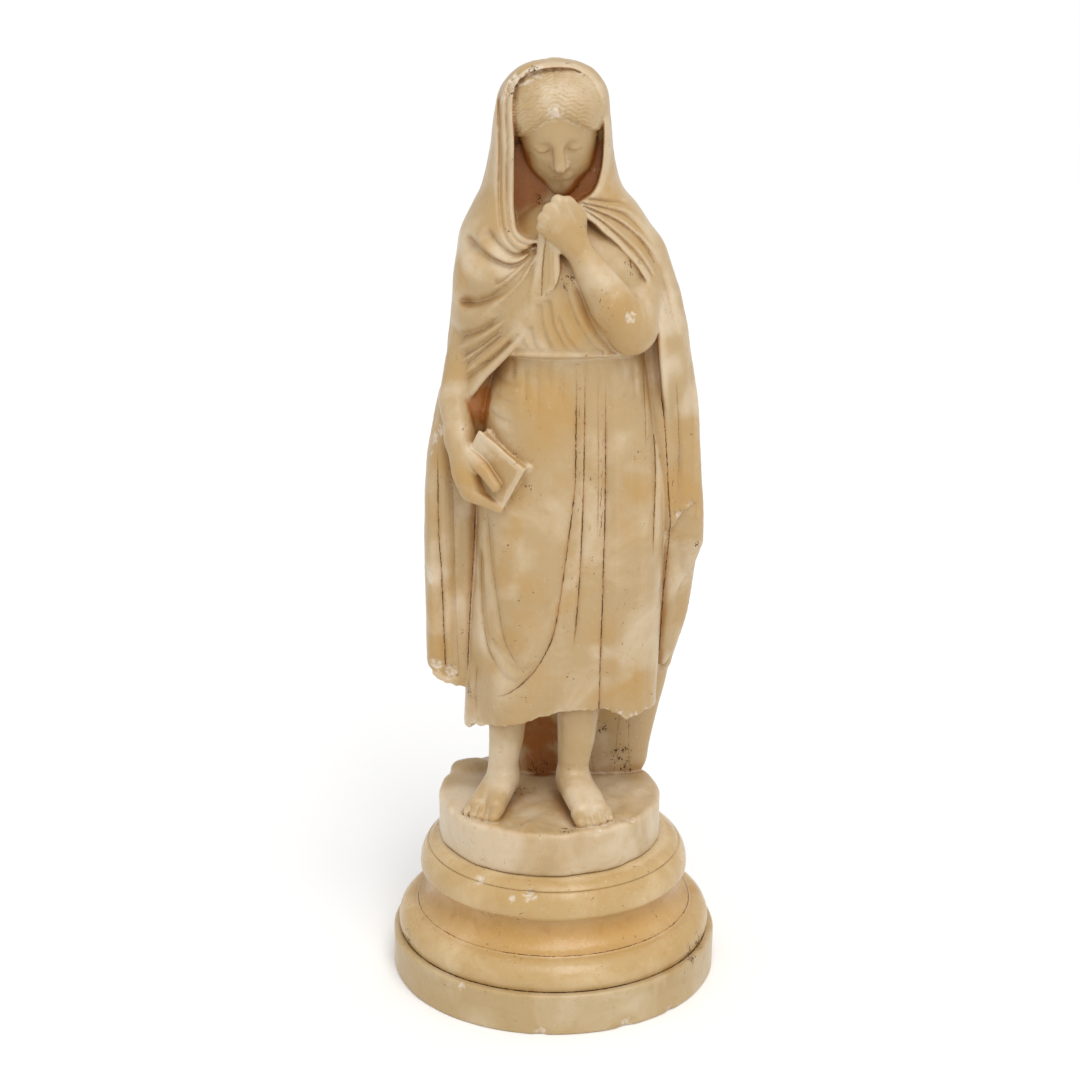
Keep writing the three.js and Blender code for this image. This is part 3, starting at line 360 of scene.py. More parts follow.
# How soon the ends of a fold fade out
SOFT = (0.3, 0.3)
CRISP = (0.1, 0.1)
GOWN_FOLDS = [
    crease([[9, 284], [8.7, 253], [8.4, 232], [5.7, 208], [3, 187], [-0.2, 167], [-5, 155], [-11.5, 146],
            [-20.6, 138.5], [-28, 136.5]], 1.5, 4, 1.6, (0.1, 0.25), incised=0.35, dirt=1),
    crease([[12.4, 285], [12, 237], [11.3, 210], [10.3, 187], [8, 157]],
           0.9, 1.2, 2.2, incised=0.35, dirt=0.9),
    crease([[17.5, 280], [18.1, 237], [17.8, 204]], 0.6, 0.8, 1.2, SOFT, incised=0.15, dirt=0.35),
    crease([[20.8, 278], [21, 225], [20.5, 195], [20.4, 183], [19.8, 157], [19.3, 118]],
           1.3, 1.8, 2.6, (0.1, 0.04), incised=0.4, dirt=1),
    crease([[25.5, 272], [26.4, 186], [26.2, 118]], -0.9, 2.2, 1.8),
    crease([[30, 262], [30.6, 220], [31, 170]], 0.5, 1.6, 2, SOFT),
    crease([[34, 252], [35, 190], [35, 118]], 0.9, 3, 2.6, (0.3, 0.1)),
    crease([[40, 282], [41.7, 250], [42.5, 235], [42.2, 215], [41.9, 196]],
           1.5, 2.6, 1.8, (0.08, 0.2), incised=0.35, dirt=0.9),
    crease([[41.9, 215], [40.5, 150], [40.5, 118]], 0.8, 2.6, 1.8, (0.2, 0.08)),
    crease([[-28.4, 222], [-26.9, 201.5], [-24.5, 184], [-21, 163], [-14, 150]], 1.5, 0.9, 2.6, dirt=0.25),
    crease([[-31, 205], [-31.2, 183], [-29, 160], [-24, 150]], 1.5, 1, 1.8, dirt=0.4),
    crease([[-29.5, 160], [-26, 153], [-20, 146.5], [-12, 143]], 1.3, 0.9, 2, SOFT),
    crease([[-28, 168], [-23, 157], [-15, 151], [-7, 153]], 1, 1, 1.8, SOFT),
    crease([[-33, 150], [-34, 138], [-34, 122]], 0.7, 2.2, 2.4, SOFT, dirt=0.3),
    crease([[-26, 278], [-20, 274], [-12, 274]], 0.7, 1, 1.2, SOFT),
    crease([[-27, 270], [-21, 267], [-14, 266]], 0.7, 1, 1.2, SOFT),
    crease([[-28, 262], [-22, 259], [-16, 258]], 0.6, 1, 1.2, SOFT),
    crease([[-10, 200], [-4, 176], [-7, 158]], 0.6, 2.2, 2, SOFT),
    crease([[36.5, 284], [37.6, 262], [38, 244]], 0.7, 1, 1.2, SOFT, dirt=0.4),
]
# Small gathers under the belt
GATHERS = {"first": -17, "last": 37, "count": 12, "top": 285.5, "drop": 13, "depth": 0.6}


def gather(i):
    x = mix(GATHERS["first"], GATHERS["last"], i / (GATHERS["count"] - 1))
    foot = GATHERS["top"] - GATHERS["drop"] * (1 + 0.6 * (i % 3))
    return crease([[x, GATHERS["top"]], [x * 1.03 + 0.4, foot]], GATHERS["depth"], 0.8, 1.1, SOFT)


GOWN_MAPS = crease_maps(GOWN_FOLDS + [gather(i) for i in range(GATHERS["count"])])


def gown(p):
    d = join(column(p, GOWN, 3), limb(p, BENT_LEG), 9)
    d += ease(*GOWN_FADE, p[1]) * read_map(GOWN_MAPS["depth"], p[0], p[2])
    d = cut(d, p[2] - BELT_HEIGHT - 1, 1.5)
    return cut(d, np.interp(p[0], *HEM) + unevenness(p, HEM_RAGGED) - p[2], 0.8)


# Bodice, blousing a little over the belt, and the neck inside the hood
BODICE = smooth_sections([
    [285, -27, 39, -31.5, 20],
    [291, -29, 40, -34, 21],
    [304, -30, 39, -34.5, 21],
    [318, -28, 39, -32.5, 20],
    [331, -22, 35, -26.5, 19],
    [346, -12, 20, -11, 17],
])
BODICE_MAPS = crease_maps([
    crease([[2, 320], [7, 304], [15, 291], [21, 287]], 1.7, 1.2, 2.4, CRISP),
    crease([[9, 318], [14, 303], [21, 292], [29, 287]], 1.8, 1.4, 2.6, CRISP),
    crease([[-3, 311], [-0.5, 299], [5, 288]], 1.5, 1, 1.8, CRISP),
    crease([[-6, 309], [-5, 299], [-1, 288]], 1.4, 1, 1.8, CRISP),
    crease([[-10, 300], [-9, 293], [-6, 288]], 1.3, 1, 1.6),
    crease([[-14, 297], [-13, 292], [-10.5, 288]], 1.1, 0.9, 1.4),
    crease([[-19, 293], [-17.5, 290], [-15, 288]], 1, 0.9, 1.2),
    crease([[1, 305], [4.5, 295], [10, 288]], 1.2, 0.8, 1.4),
    crease([[-10, 354.5], [-5, 351.5], [1, 347.6]], 0.4, 0.5, 0.5, incised=0.35, dirt=1),
    crease([[-26, 286.6], [0, 286.9], [39, 286.2]], -0.9, 0.7, 0.7),
    crease([[-26, 288.6], [0, 288.9], [39, 288.2]], 0.9, 0.6, 1),
])
BODICE_FADE = (0, -10)
NECK = [(1.5, 4, 338, 10), (1.8, -1, 362, 9)]


def bodice(p):
    d = column(p, BODICE, 2.5)
    d += ease(*BODICE_FADE, p[1]) * read_map(BODICE_MAPS["depth"], p[0], p[2])
    return join(d, limb(p, NECK), 5)


# Mantle: a hooded cloak over head, shoulders and back, open in front and falling at both sides
MANTLE = smooth_sections([
    [74, -22, 42.6, 17, 34],
    [90, -22, 43.6, 17, 35],
    [108, -24, 47, 14, 36.5],
    [124, -31, 50.4, 8, 37.5],
    [138, -41, 53.2, 4, 38],
    [148, -46, 56.6, 1, 38.4],
    [162, -50, 60, -3, 39],
    [188, -53, 63, -5, 39.5],
    [230, -53.5, 63, -10, 39],
    [256, -50, 61, -22, 38],
    [276, -46, 58.2, -30, 37.5],
    [300, -43.4, 52.6, -33.5, 36.5],
    [320, -42, 47, -33, 35],
    [334, -39.4, 41, -29, 33.5],
    [344, -34.6, 34.6, -25, 32],
    [352, -30.6, 28, -23, 31],
    [366, -27, 24.2, -24.5, 29],
    [382, -24.8, 22.6, -26, 25],
    [392, -22.4, 21, -25.5, 19],
    [399, -16.4, 15.8, -21.5, 11],
    [402.2, -10, 9.6, -17, 5],
    [HOOD_TOP, -3, 3, -11, -2],
])
LEFT_FALL = smooth_sections([
    [126, -56.5, -37, -9, 24],
    [160, -56.4, -38, -12, 25],
    [200, -56.6, -38, -14, 26],
    [232, -55.4, -37, -13, 26],
    [252, -51, -35, -10, 26],
    [276, -45.4, -29, -5, 26],
    [300, -41.6, -25, 0, 25],
    [326, -34, -22, 4, 20],
])
LEFT_FALL_HEM = np.array([[-57, 145], [-53, 140.5], [-48, 137.5], [-38, 133.5]]).T
RIGHT_FALL = [
    (37, -1, 324, 8),
    (43.6, -3, 304, 8.4),
    (48.4, -4, 283, 8.4),
    (51.8, -4, 262, 8.4),
    (54.4, -3, 241, 8.4),
    (56, -1, 212, 8.8),
    (57.4, 1.5, 200, 8),
    (55, 6, 184, 6.5),
    (53, 9.5, 165, 5),
    (51, 14, 138, 1.5),
]
# The lower front of the right fall is broken off below this ragged line
BREAK_EDGE = np.array([[48, 205], [51.5, 208.5], [54.7, 213.6], [58, 217], [62, 218.8], [66, 220]]).T
BREAK_FACE = -7.2
STUB_EDGE = np.array([[196, 66], [203, 62.4], [214, 61], [220, 64]]).T
# Folds of the mantle seen beside the gown, inside the two falls
INNER_FOLDS = [
    [(-32, -8, 284, 7), (-34, -9, 262, 7.5), (-37, -6, 236, 6.6), (-38.6, -4.5, 190, 7), (-39.6, -4, 152, 7),
     (-40.5, -3, 136, 6)],
    [(39.5, -6, 292, 6.4), (42.6, -8, 266, 7), (45.6, -8, 240, 7), (48, -5, 216, 6.4), (50, 0, 196, 6),
     (49.6, 5, 168, 4.2), (48.6, 11, 140, 1.5)],
]
FRONT_OPENING = outline_map([
    [-6, 336], [-6.6, 320], [-8, 306], [-11, 296.5], [-16.5, 288.5], [-22, 282.5], [-28, 275.5], [-33, 268],
    [-39, 258], [-40.5, 246], [-37, 225], [-36.5, 195], [-38, 160], [-38.5, 120], [0, 100], [44, 120],
    [46.5, 160], [48.5, 200], [48, 226], [46.4, 252], [44.2, 272], [42.4, 290], [40.4, 307], [35.5, 318],
    [28.5, 327], [19.5, 335.5], [11, 342], [3, 344],
])
FACE_OPENING = outline_map([
    [-16.8, 388], [-13.6, 395.2], [-6, 399.4], [3, 400.4], [10.4, 398.6], [16, 393], [18.8, 383], [19.4, 370],
    [18.5, 360], [15.5, 351.5], [9, 347], [1, 342], [-6, 334.5], [-12, 334.3], [-15.6, 338], [-16.8, 350],
    [-16.4, 370],
])
# The hood is squarer than the cloak; the heights are where one passes into the other
HOOD_ROUNDNESS = 3.1
HOOD_HEIGHTS = (350, 378)
# The floors of the openings: deeper at the legs than at the breast, and beside the face than over the hair
SKIRT_FLOOR, BREAST_FLOOR = 2, -12
BREAST_HEIGHTS = (284, 306)
FACE_FLOOR, HAIR_FLOOR = -8, -16
HAIR_HEIGHTS = (368, 384)
# Grooves beside the edge of the hood: distance from the edge, depth and half width, and where they fade out
RIM_GROOVES = [(2.6, 1.1, 0.7), (5.6, 1.4, 0.9)]
RIM_FADE = {"y": (4, -6), "x": (2, -8)}
GATHERED = {"fade": (0.2, 0.05), "flare": (1.5, 0.25), "dirt": 0.25}
FANNED = {"fade": (0.05, 0.35), "flare": (0.35, 1.6), "dirt": 0.2}
MANTLE_MAPS = crease_maps([
    crease([[-27.9, 338], [-24, 332.2], [-18.4, 327.9], [-13.4, 327.7], [-6.9, 332.2]],
           3.4, 1.4, 3, **GATHERED),
    crease([[-37.6, 335], [-32, 329.5], [-25.8, 325.2], [-18.4, 323], [-12.6, 325], [-7, 330.5]],
           4, 1.4, 3.4, **GATHERED),
    crease([[-26, 314.5], [-21.7, 316.6], [-16.3, 321], [-11, 326.5]], 2.2, 1.4, 1.2, **GATHERED),
    crease([[-42.5, 306.2], [-34.2, 305.8], [-27.5, 308], [-20, 313], [-13.5, 319.6], [-8, 328]],
           4.2, 3.2, 1.4, **GATHERED),
    crease([[-28, 297.5], [-20.9, 304.2], [-15.5, 310.8], [-11.4, 316.6], [-7.4, 326]],
           3.2, 2.2, 1.2, **GATHERED),
    crease([[-44, 285], [-37, 291.4], [-29, 296], [-18.3, 304.6], [-11.3, 314.8], [-8, 325.5]],
           3.6, 2.6, 1.3, **GATHERED),
    crease([[-46.5, 276.5], [-41, 281], [-29.2, 289.8], [-17.5, 300.8], [-9.7, 311.7]],
           3.2, 2.4, 1.2, **GATHERED),
    crease([[-47.5, 267.5], [-40.3, 276], [-31.6, 285], [-21.4, 294.5], [-14.4, 302.4]],
           3, 2.2, 1.2, **GATHERED),
    crease([[-49, 262], [-42, 268.3], [-33.2, 277], [-22.2, 287.4], [-14.4, 296]], 2.6, 2, 1.1, **GATHERED),
    crease([[5, 349.2], [14, 348.7], [20, 347.6], [28, 346], [34, 341]], 1.7, 0.8, 1.2, **FANNED),
    crease([[7.5, 348], [15.8, 346.1], [24.2, 343.6], [30, 340.4], [37, 333], [44, 322]],
           1.9, 0.9, 1.4, **FANNED),
    crease([[8.4, 347.2], [18, 343.2], [26, 339], [33, 333.4], [38, 327], [44, 316], [49, 300], [53, 282]],
           2.1, 1, 1.8, **FANNED),
    crease([[9.4, 346.1], [19.6, 339.2], [28.6, 331.2], [34.8, 324.7], [41, 315.3], [46.3, 303], [50.4, 284]],
           1.8, 0.9, 1.5, **FANNED),
    crease([[-49.5, 246], [-49.5, 209], [-48.5, 187], [-48, 165], [-47.4, 138]],
           1.5, 1.4, 2.8, (0.15, 0.04),
           incised=0.35, dirt=0.9),
    crease([[-43.5, 240], [-43, 205], [-42.5, 170], [-41.5, 138]], 1.3, 1.8, 2.2, (0.2, 0.06), dirt=0.2),
    crease([[-53, 230], [-53.4, 190], [-52.6, 150]], 0.5, 1.4, 1.6, SOFT),
    crease([[55, 300], [57.5, 270], [58.5, 235], [58.5, 206]], 1.6, 2.4, 2.4, SOFT),
    crease([[50, 280], [52.5, 250], [53, 215]], 0.9, 1.4, 1.6, SOFT, dirt=0.3),
    crease([[44.1, 269.4], [46.4, 253], [48.5, 223.9], [49.6, 209], [48.6, 190], [47.6, 171], [46.8, 138]],
           0.5, 0.8, 0.8, (0.08, 0.08), incised=0.35, dirt=1),
    crease([[-33.6, 219.5], [-34.6, 197.3], [-36.1, 175.7], [-38, 140]], 0.5, 0.8, 0.8, (0.08, 0.08),
           incised=0.15, dirt=1),
    crease([[52, 196], [55, 175], [53, 150]], 0.8, 2.6, 2.4, SOFT),
])
# Folds down the back hang from the shoulders and fan out towards the hem
BACK_FOLDS = {"count": 9, "left": -46, "right": 46, "depth": 3.6, "top": 338, "waist": 270}


def back_crease(i):
    x = mix(BACK_FOLDS["left"], BACK_FOLDS["right"], i / (BACK_FOLDS["count"] - 1))
    sway = 2.5 if i % 2 else -2
    lowered = (i % 3) * 0.36
    waist = [x * 0.72 + sway, BACK_FOLDS["waist"]]
    start = [mix(x * 0.5 + 2, waist[0], lowered), mix(BACK_FOLDS["top"], waist[1], lowered)]
    foot = [[x * 0.95, 190], [x * 0.8 + sway, 120], [x * 0.7 + 3, 74]]
    widths = (4, 1.6) if i % 2 else (1.6, 4)
    return crease([start, waist, *foot], BACK_FOLDS["depth"], *widths, (0.12, 0.05), dirt=0.3)


BACK_MAPS = crease_maps([back_crease(i) for i in range(BACK_FOLDS["count"])])


# Folds down both sides: their y at the top and at the foot, then the heights of both ends
SIDE_FOLDS = [(-2, 4, 312, 150), (8, 13, 330, 120), (17, 16, 300, 140), (25, 25, 326, 100)]
SIDE_FOLD = {"depth": 2.4, "front": 1.4, "back": 3.6, "from": 34, "to": 44, "middle": 4.8}


def side_folds(p):
    total = 0
    for top_y, foot_y, top, foot in SIDE_FOLDS:
        away = p[1] - mix(top_y, foot_y, np.clip((top - p[2]) / (top - foot), 0, 1))
        width = np.where(away < 0, SIDE_FOLD["front"], SIDE_FOLD["back"])
        reach = ease(top, top - 40, p[2]) * ease(foot, foot + 30, p[2])
        total = np.maximum(total, reach * np.exp(-np.abs(away) / width))
    outer = ease(SIDE_FOLD["from"], SIDE_FOLD["to"], np.abs(p[0] - SIDE_FOLD["middle"]))
    return SIDE_FOLD["depth"] * outer * total


# Where the folds of each face fade out, from front to back; low down the back folds start further behind
FRONT_FADE = (14, -8)
SIDE_FADE = (-6, 2)
BACK_FADE = (8, 24)
LOW_WALL = {"top": 130, "foot": 105, "set_back": 12}
EDGE_RAGGED = [(0.5, 6, 21), (0.4, 2.6, 22)]


def mantle(p):
    x, y, z = p
    d = column(p, MANTLE, 1, mix(ROUNDNESS, HOOD_ROUNDNESS, ease(*HOOD_HEIGHTS, z)))
    ragged = unevenness(p, EDGE_RAGGED)
    left_hem = np.interp(x, *LEFT_FALL_HEM) + ragged - z
    d = join(d, cut(column(p, LEFT_FALL, 2, 3.2), left_hem, 1), 6)
    d = join(d, limb(p, RIGHT_FALL), 7)
    d += ease(*FRONT_FADE, y) * read_map(MANTLE_MAPS["depth"], x, z)
    behind = ease(*BACK_FADE, y - LOW_WALL["set_back"] * ease(LOW_WALL["top"], LOW_WALL["foot"], z))
    d += behind * read_map(BACK_MAPS["depth"], x, z) + ease(*SIDE_FADE, y) * side_folds(p)
    face = read_map(FACE_OPENING, x, z)
    front = read_map(FRONT_OPENING, x, z)
    band = ease(*RIM_FADE["y"], y) * ease(*RIM_FADE["x"], x)
    for offset, depth, width in RIM_GROOVES:
        d += band * depth * np.exp(-((face - offset) / width) ** 2)
    floor = mix(SKIRT_FLOOR, BREAST_FLOOR, ease(*BREAST_HEIGHTS, z))
    d = cut(d, -np.maximum(front, y - floor), 2.2)
    left_fold, right_fold = (limb(p, fold) for fold in INNER_FOLDS)
    d = join(d, cut(left_fold, left_hem, 1), 1.5)
    d = join(d, right_fold, 1.5)
    broken = np.maximum(z - np.interp(x, *BREAK_EDGE) - ragged, y - BREAK_FACE - 0.2 * ragged)
    broken = np.maximum(broken, np.maximum(BREAK_EDGE[0, 0] - x, x - np.interp(z, *STUB_EDGE)))
    d = cut(d, -broken, 0.6)
    hood_floor = mix(FACE_FLOOR, HAIR_FLOOR, ease(*HAIR_HEIGHTS, z))
    return cut(d, -np.maximum(face, y - hood_floor), 1.6)


# Head in its own axes: u to the viewer's right, v out of the face, w up; it bows and tilts a little
SKULL = ((0, -3, 5.5), (17.2, 19.8, 17))
BROW = ((0, 5, 2), (14.8, 13.4, 13))
JAW = ((0, 5.5, -6.4), (14.6, 12.8, 16))
CHIN = [(0, 9, -13, 8), (0, 12, -18.2, 5.8)]
NOSE = [(0, 17.2, 3.5, 1.9), (0, 20.8, -5.8, 2.6)]
NOSTRIL = [(2.2, 18.8, -6.4, 1.8), (1, 19.4, -5.6, 1.7)]
HAIR = ((0, -1, 8.6), (20.2, 19, 17))
HAIRLINE = {"middle": 12, "drop": 0.05, "taper": 1.9, "over": 6}
EYE = (6.2, 17.2, 0.6)
SOCKET = ((EYE[0], EYE[1] + 2.4, EYE[2]), (5, 3.2, 3))
LID = ((EYE[0], EYE[1] - 2.9, EYE[2] - 0.3), (3.8, 3.6, 2.5))
LIPS = ((0, 17, -12), (4.6, 1.7, 1.7))
MOUTH = {"depth": 0.45, "half": 0.4, "curve": 0.012}
LID_LINE = {"depth": 0.4, "half": 0.35, "curve": 0.06, "below": 1.4}
PARTING = {"depth": 0.6, "half": 0.6}
STRAND = {"pitch": 2, "depth": 0.6, "wave": 0.32, "wavelength": 6.5, "slant": 0.3}


def head_axes(p):
    cb, sb = math.cos(HEAD["bow"]), math.sin(HEAD["bow"])
    ct, st = math.cos(HEAD["tilt"]), math.sin(HEAD["tilt"])
    forward = HEAD["y"] - p[1]
    up = p[2] - HEAD["z"]
    rise = forward * sb + up * cb
    aside = p[0] - HEAD["x"]
    return aside * ct + rise * st, forward * cb - up * sb, rise * ct - aside * st


def hair(q):
    u, v, w = q
    half_width = HAIR[1][0]
    full_sides = half_width * (np.abs(u) / half_width) ** 1.5
    d = ellipsoid((full_sides, v, w), *HAIR)
    round_the_crown = np.arctan2(v - HAIR[0][1], w - HAIR[0][2]) * HAIR[1][1]
    wave = STRAND["wave"] * np.sin(2 * np.pi * np.abs(u) / STRAND["wavelength"] + round_the_crown * 0.4)
    turn = 2 * np.pi * ((round_the_crown - STRAND["slant"] * np.abs(u)) / STRAND["pitch"] + wave)
    d += STRAND["depth"] * (0.5 + 0.5 * np.cos(turn)) ** 2
    d += PARTING["depth"] * np.exp(-(u / PARTING["half"]) ** 2) * ease(6, -2, round_the_crown)
    above = w - HAIRLINE["middle"] + HAIRLINE["drop"] * u * u
    d += HAIRLINE["taper"] * ease(HAIRLINE["over"], 0, above)
    return cut(d, -above, 1)


def head(p):
    u, v, w = head_axes(p)
    q = (u, v, w)
    half = (np.abs(u), v, w)
    d = join(ellipsoid(q, *SKULL), ellipsoid(q, *JAW), 6)
    d = join(d, ellipsoid(q, *BROW), 3)
    d = join(d, limb(q, CHIN), 4)
    d = cut(d, -ellipsoid(half, *SOCKET), 2.5)
    d = join(d, ellipsoid(half, *LID), 0.6)
    d = join(d, limb(q, NOSE), 2.2)
    d = join(d, limb(half, NOSTRIL), 1)
    d = join(d, ellipsoid(q, *LIPS), 1.2)
    mouth = np.exp(-((w - LIPS[0][2] + MOUTH["curve"] * u * u) / MOUTH["half"]) ** 2)
    mouth *= ease(5, 3.5, np.abs(u)) * ease(12, 15, v)
    aside = half[0] - EYE[0]
    over_line = w - EYE[2] + LID_LINE["below"] - LID_LINE["curve"] * aside ** 2
    lid_line = np.exp(-(over_line / LID_LINE["half"]) ** 2)
    lid_line *= ease(3.8, 2.6, np.abs(aside)) * ease(11, 14, v)
    d += MOUTH["depth"] * mouth + LID_LINE["depth"] * lid_line
    return join(d, hair(q), 0.7)


# Left arm, raised to hold the mantle closed under the chin
LEFT_ARM = [(36, -2, 322, 11), (31.5, -24, 298.5, 10.3)]
LEFT_FOREARM = [(31, -27, 296.8, 10.4), (22.5, -33, 308.8, 9.4), (7.8, -32.4, 332, 5)]
WRIST = LEFT_FOREARM[-1]
KNUCKLES = [(1.4, -34.6, 349, 2.7), (-1.8, -35.2, 345.8, 2.8), (-4, -35, 342.4, 2.7), (-4.8, -34, 338.8, 2.5)]
THUMB_SIDE = [WRIST, (9.4, -32.6, 342.6, 3.4), (5, -33, 348.6, 3)]
FINGER_CURL = (1.5, 8, -1)


def left_arm(p):
    d = join(limb(p, LEFT_ARM), limb(p, LEFT_FOREARM), 4)
    hand = limb(p, THUMB_SIDE)
    for knuckle in KNUCKLES:
        hand = join(hand, limb(p, [WRIST, knuckle]), 1.8)
    for x, y, z, r in KNUCKLES:
        tip = (x + FINGER_CURL[0], y + FINGER_CURL[1], z + FINGER_CURL[2], r)
        hand = join(hand, limb(p, [(x - 0.5, y + 0.4, z + 0.4, r), tip]), 0.3)
    return join(d, hand, 2)


# The end of the mantle that hangs below the fist
TASSEL = [(-2.8, -31, 337, 3.8), (-3, -31.6, 324, 5.2), (-3.4, -32.2, 311, 5.6)]
TASSEL_FLATNESS = 1.7
TASSEL_LEAN = 0.32
TASSEL_FOOT = np.array([
    [-9, 311], [-6, 310.6], [-4.4, 311], [-3.4, 313], [-0.6, 314], [0.8, 317], [2.4, 322],
]).T
TASSEL_MAPS = crease_maps([
    crease([[-3.6, 336], [-5, 324], [-5.8, 306]], 0.9, 0.6, 1, CRISP, dirt=0.5),
    crease([[-2.4, 336], [-2.6, 322], [-3, 306]], 0.7, 0.6, 1.2, CRISP),
    crease([[-1, 336], [0, 322], [-0.2, 306]], 0.6, 0.6, 1.2, CRISP),
])


def tassel(p):
    x0, y0 = TASSEL[0][:2]
    flat = (p[0], y0 + (p[1] - y0 + TASSEL_LEAN * (p[0] - x0)) * TASSEL_FLATNESS, p[2])
    d = limb(flat, TASSEL) / TASSEL_FLATNESS + read_map(TASSEL_MAPS["depth"], p[0], p[2])
    return cut(d, np.interp(p[0], *TASSEL_FOOT) - p[2], 0.5)


# Right arm, hanging under the mantle, with a hand that holds a small book against the thigh
RIGHT_ARM = [(-36, -4, 290, 8), (-41.5, -11.5, 264, 7.2), (-39.6, -18.5, 249, 6)]
RIGHT_HAND = [
    (-39.6, -19, 249, 5.8),
    (-37, -24.5, 236.5, 6.3),
    (-34.6, -27, 229, 5.4),
    (-30, -26, 228, 4.4),
    (-25, -27.5, 226, 3.6),
]
THUMB = [(-36, -24, 243, 4.2), (-30, -31.4, 239.5, 3), (-24.4, -35, 232.6, 2.4)]
FINGERS = {"count": 4, "from": (-34, -30, 227.6), "to": (-23, -32.6, 222.6), "spread": 2.5, "radius": 2.5}


def right_arm(p):
    d = join(limb(p, RIGHT_ARM), limb(p, RIGHT_HAND), 4)
    d = join(d, limb(p, THUMB), 2)
    fx, fy, fz = FINGERS["from"]
    tx, ty, tz = FINGERS["to"]
    for i in range(FINGERS["count"]):
        back = i * FINGERS["spread"]
        reach = 0.75 if i == FINGERS["count"] - 1 else 1
        root = (fx, fy + back, fz, FINGERS["radius"] + 0.6)
        tip = (mix(fx, tx, reach), ty + back, mix(fz, tz, reach), FINGERS["radius"] * 0.9)
        d = join(d, limb(p, [root, tip]), 0.9)
    return d


BOOK_COVER = 1.3
BOOK_PAGE_INSET = 1
PAGE = {"pitch": 1.3, "depth": 0.25}


def book(p):
    dx, dy, dz = (c - m for c, m in zip(p, BOOK["at"]))
    ct, st = math.cos(BOOK["turn"]), math.sin(BOOK["turn"])
    cs, ss = math.cos(BOOK["slope"]), math.sin(BOOK["slope"])
    across = dx * ct - dy * st
    t = dx * st + dy * ct
    u = across * cs - dz * ss
    w = across * ss + dz * cs
    half_width, half_thick, half_height = BOOK["half"]
    cover = round_box((u, t, w), BOOK["half"], 0.7)
    inset = np.maximum(np.abs(u) - half_width, np.abs(w) - half_height) + BOOK_PAGE_INSET
    inset = inset + PAGE["depth"] * np.cos(2 * np.pi * t / PAGE["pitch"])
    return np.maximum(cover, np.minimum(inset, half_thick - BOOK_COVER - np.abs(t)))


# Bare lower legs and feet
LEGS = [
    {
        "leg": [(-19, -10, 140, 9.8), (-21, -11, 112, 7.6), (-22.4, -10.5, 99, 6.6)],
        "inner": [(-21.6, -10, 92, 6.8), (-23.6, -21, 90, 5.6), (-25.6, -29.5, 87, 4.4)],
        "outer": [(-24, -8, 90, 6.4), (-29.5, -18, 88.5, 5), (-33.6, -25.5, 86.4, 3.8)],
        "heading": (-0.31, -0.95),
        "toes": (-29.6, -29.5),
        "outward": -1,
    },
    {
        "leg": [(11.5, -10, 140, 10.8), (9.8, -11, 112, 8.2), (8.6, -11, 99, 6.8)],
        "inner": [(7.4, -10, 92, 6.8), (9.4, -24, 90.4, 5.8), (12, -34.5, 87.2, 4.6)],
        "outer": [(10, -8, 90, 6.4), (15.4, -22, 88.6, 5.4), (19.6, -31.5, 86.6, 4)],
        "heading": (0.26, -0.97),
        "toes": (15.6, -35.5),
        "outward": 1,
    },
]
TOES = {"radii": (2.7, 2, 1.9, 1.8, 1.6), "pitch": 3.4, "length": 5.4}


def legs(p):
    d = None
    for one in LEGS:
        foot = join(limb(p, one["inner"]), limb(p, one["outer"]), 4)
        whole = join(limb(p, one["leg"]), foot, 4)
        hx, hy = one["heading"]
        for k, r in enumerate(TOES["radii"]):
            across = (k - 1.6) * TOES["pitch"] * one["outward"]
            back = 0.2 * k * k
            x = one["toes"][0] - hy * across - hx * back
            y = one["toes"][1] + hx * across - hy * back
            root = (x, y, DRUM["top"] + r + 1.4, r + 0.5)
            tip = (x + hx * TOES["length"], y + hy * TOES["length"], DRUM["top"] + r - 0.4, r)
            whole = join(whole, limb(p, [root, tip]), 0.35)
        d = whole if d is None else np.minimum(d, whole)
    return d


GROUND_LUMP = ((-37, 25, DRUM["top"] - 0.5), (10, 7, 4.5))
DRUM_WAVES = {"side": (0.45, 24, 31), "top": (-0.4, 13, 32)}
DRUM_EDGE = 2.4


def drum(p):
    side = unevenness(p, [DRUM_WAVES["side"]], length(p[0] - DRUM["x"], p[1]) - DRUM["radius"] + 0.5)
    upright = np.maximum(unevenness(p, [DRUM_WAVES["top"]], p[2] - DRUM["top"]), DRUM["bottom"] - p[2])
    return join(cut(side, upright, DRUM_EDGE), ellipsoid(p, *GROUND_LUMP), 4)


# The whole figure: each part with the heights it reaches and the width of its seam, in the order they join
CLOTH = [(gown, 100, 292, 0.8), (bodice, 275, 375, 0.8)]
BODY = [
    (legs, ROOT, 160, 1),
    (head, 335, 410, 1),
    (left_arm, 275, 365, 1.2),
    (tassel, 300, 345, 1.6),
    (right_arm, 205, 310, 0.8),
    (book, 215, 262, 0.5),
    (drum, 0, DRUM["top"] + 8, 0.8),
]
# Low down the cloth keeps inside the drum's edge, and leans out above it
FOOT_TRIM = {"inset": 2.4, "lean": 0.8}
STONE_WAVES = [(0.1, 11, 41), (0.05, 4, 42)]


def over(d, p, low, high, part, k):
    here = (p[2] > low) & (p[2] < high)
    if here.any():
        d[here] = join(d[here], part(tuple(c[here] for c in p)), k)


def figure_distance(p):
    x, y, z = p
    d = mantle(p)
    for part, low, high, k in CLOTH:
        over(d, p, low, high, part, k)
    rim = length(x - DRUM["x"], y) - DRUM["radius"] + FOOT_TRIM["inset"]
    rim = rim - FOOT_TRIM["lean"] * np.maximum(z - DRUM["top"], 0)
    d = cut(d, np.maximum(ROOT - z, rim), 0.5)
    for part, low, high, k in BODY:
        over(d, p, low, high, part, k)
    return unevenness(p, STONE_WAVES, d + chipping(p))


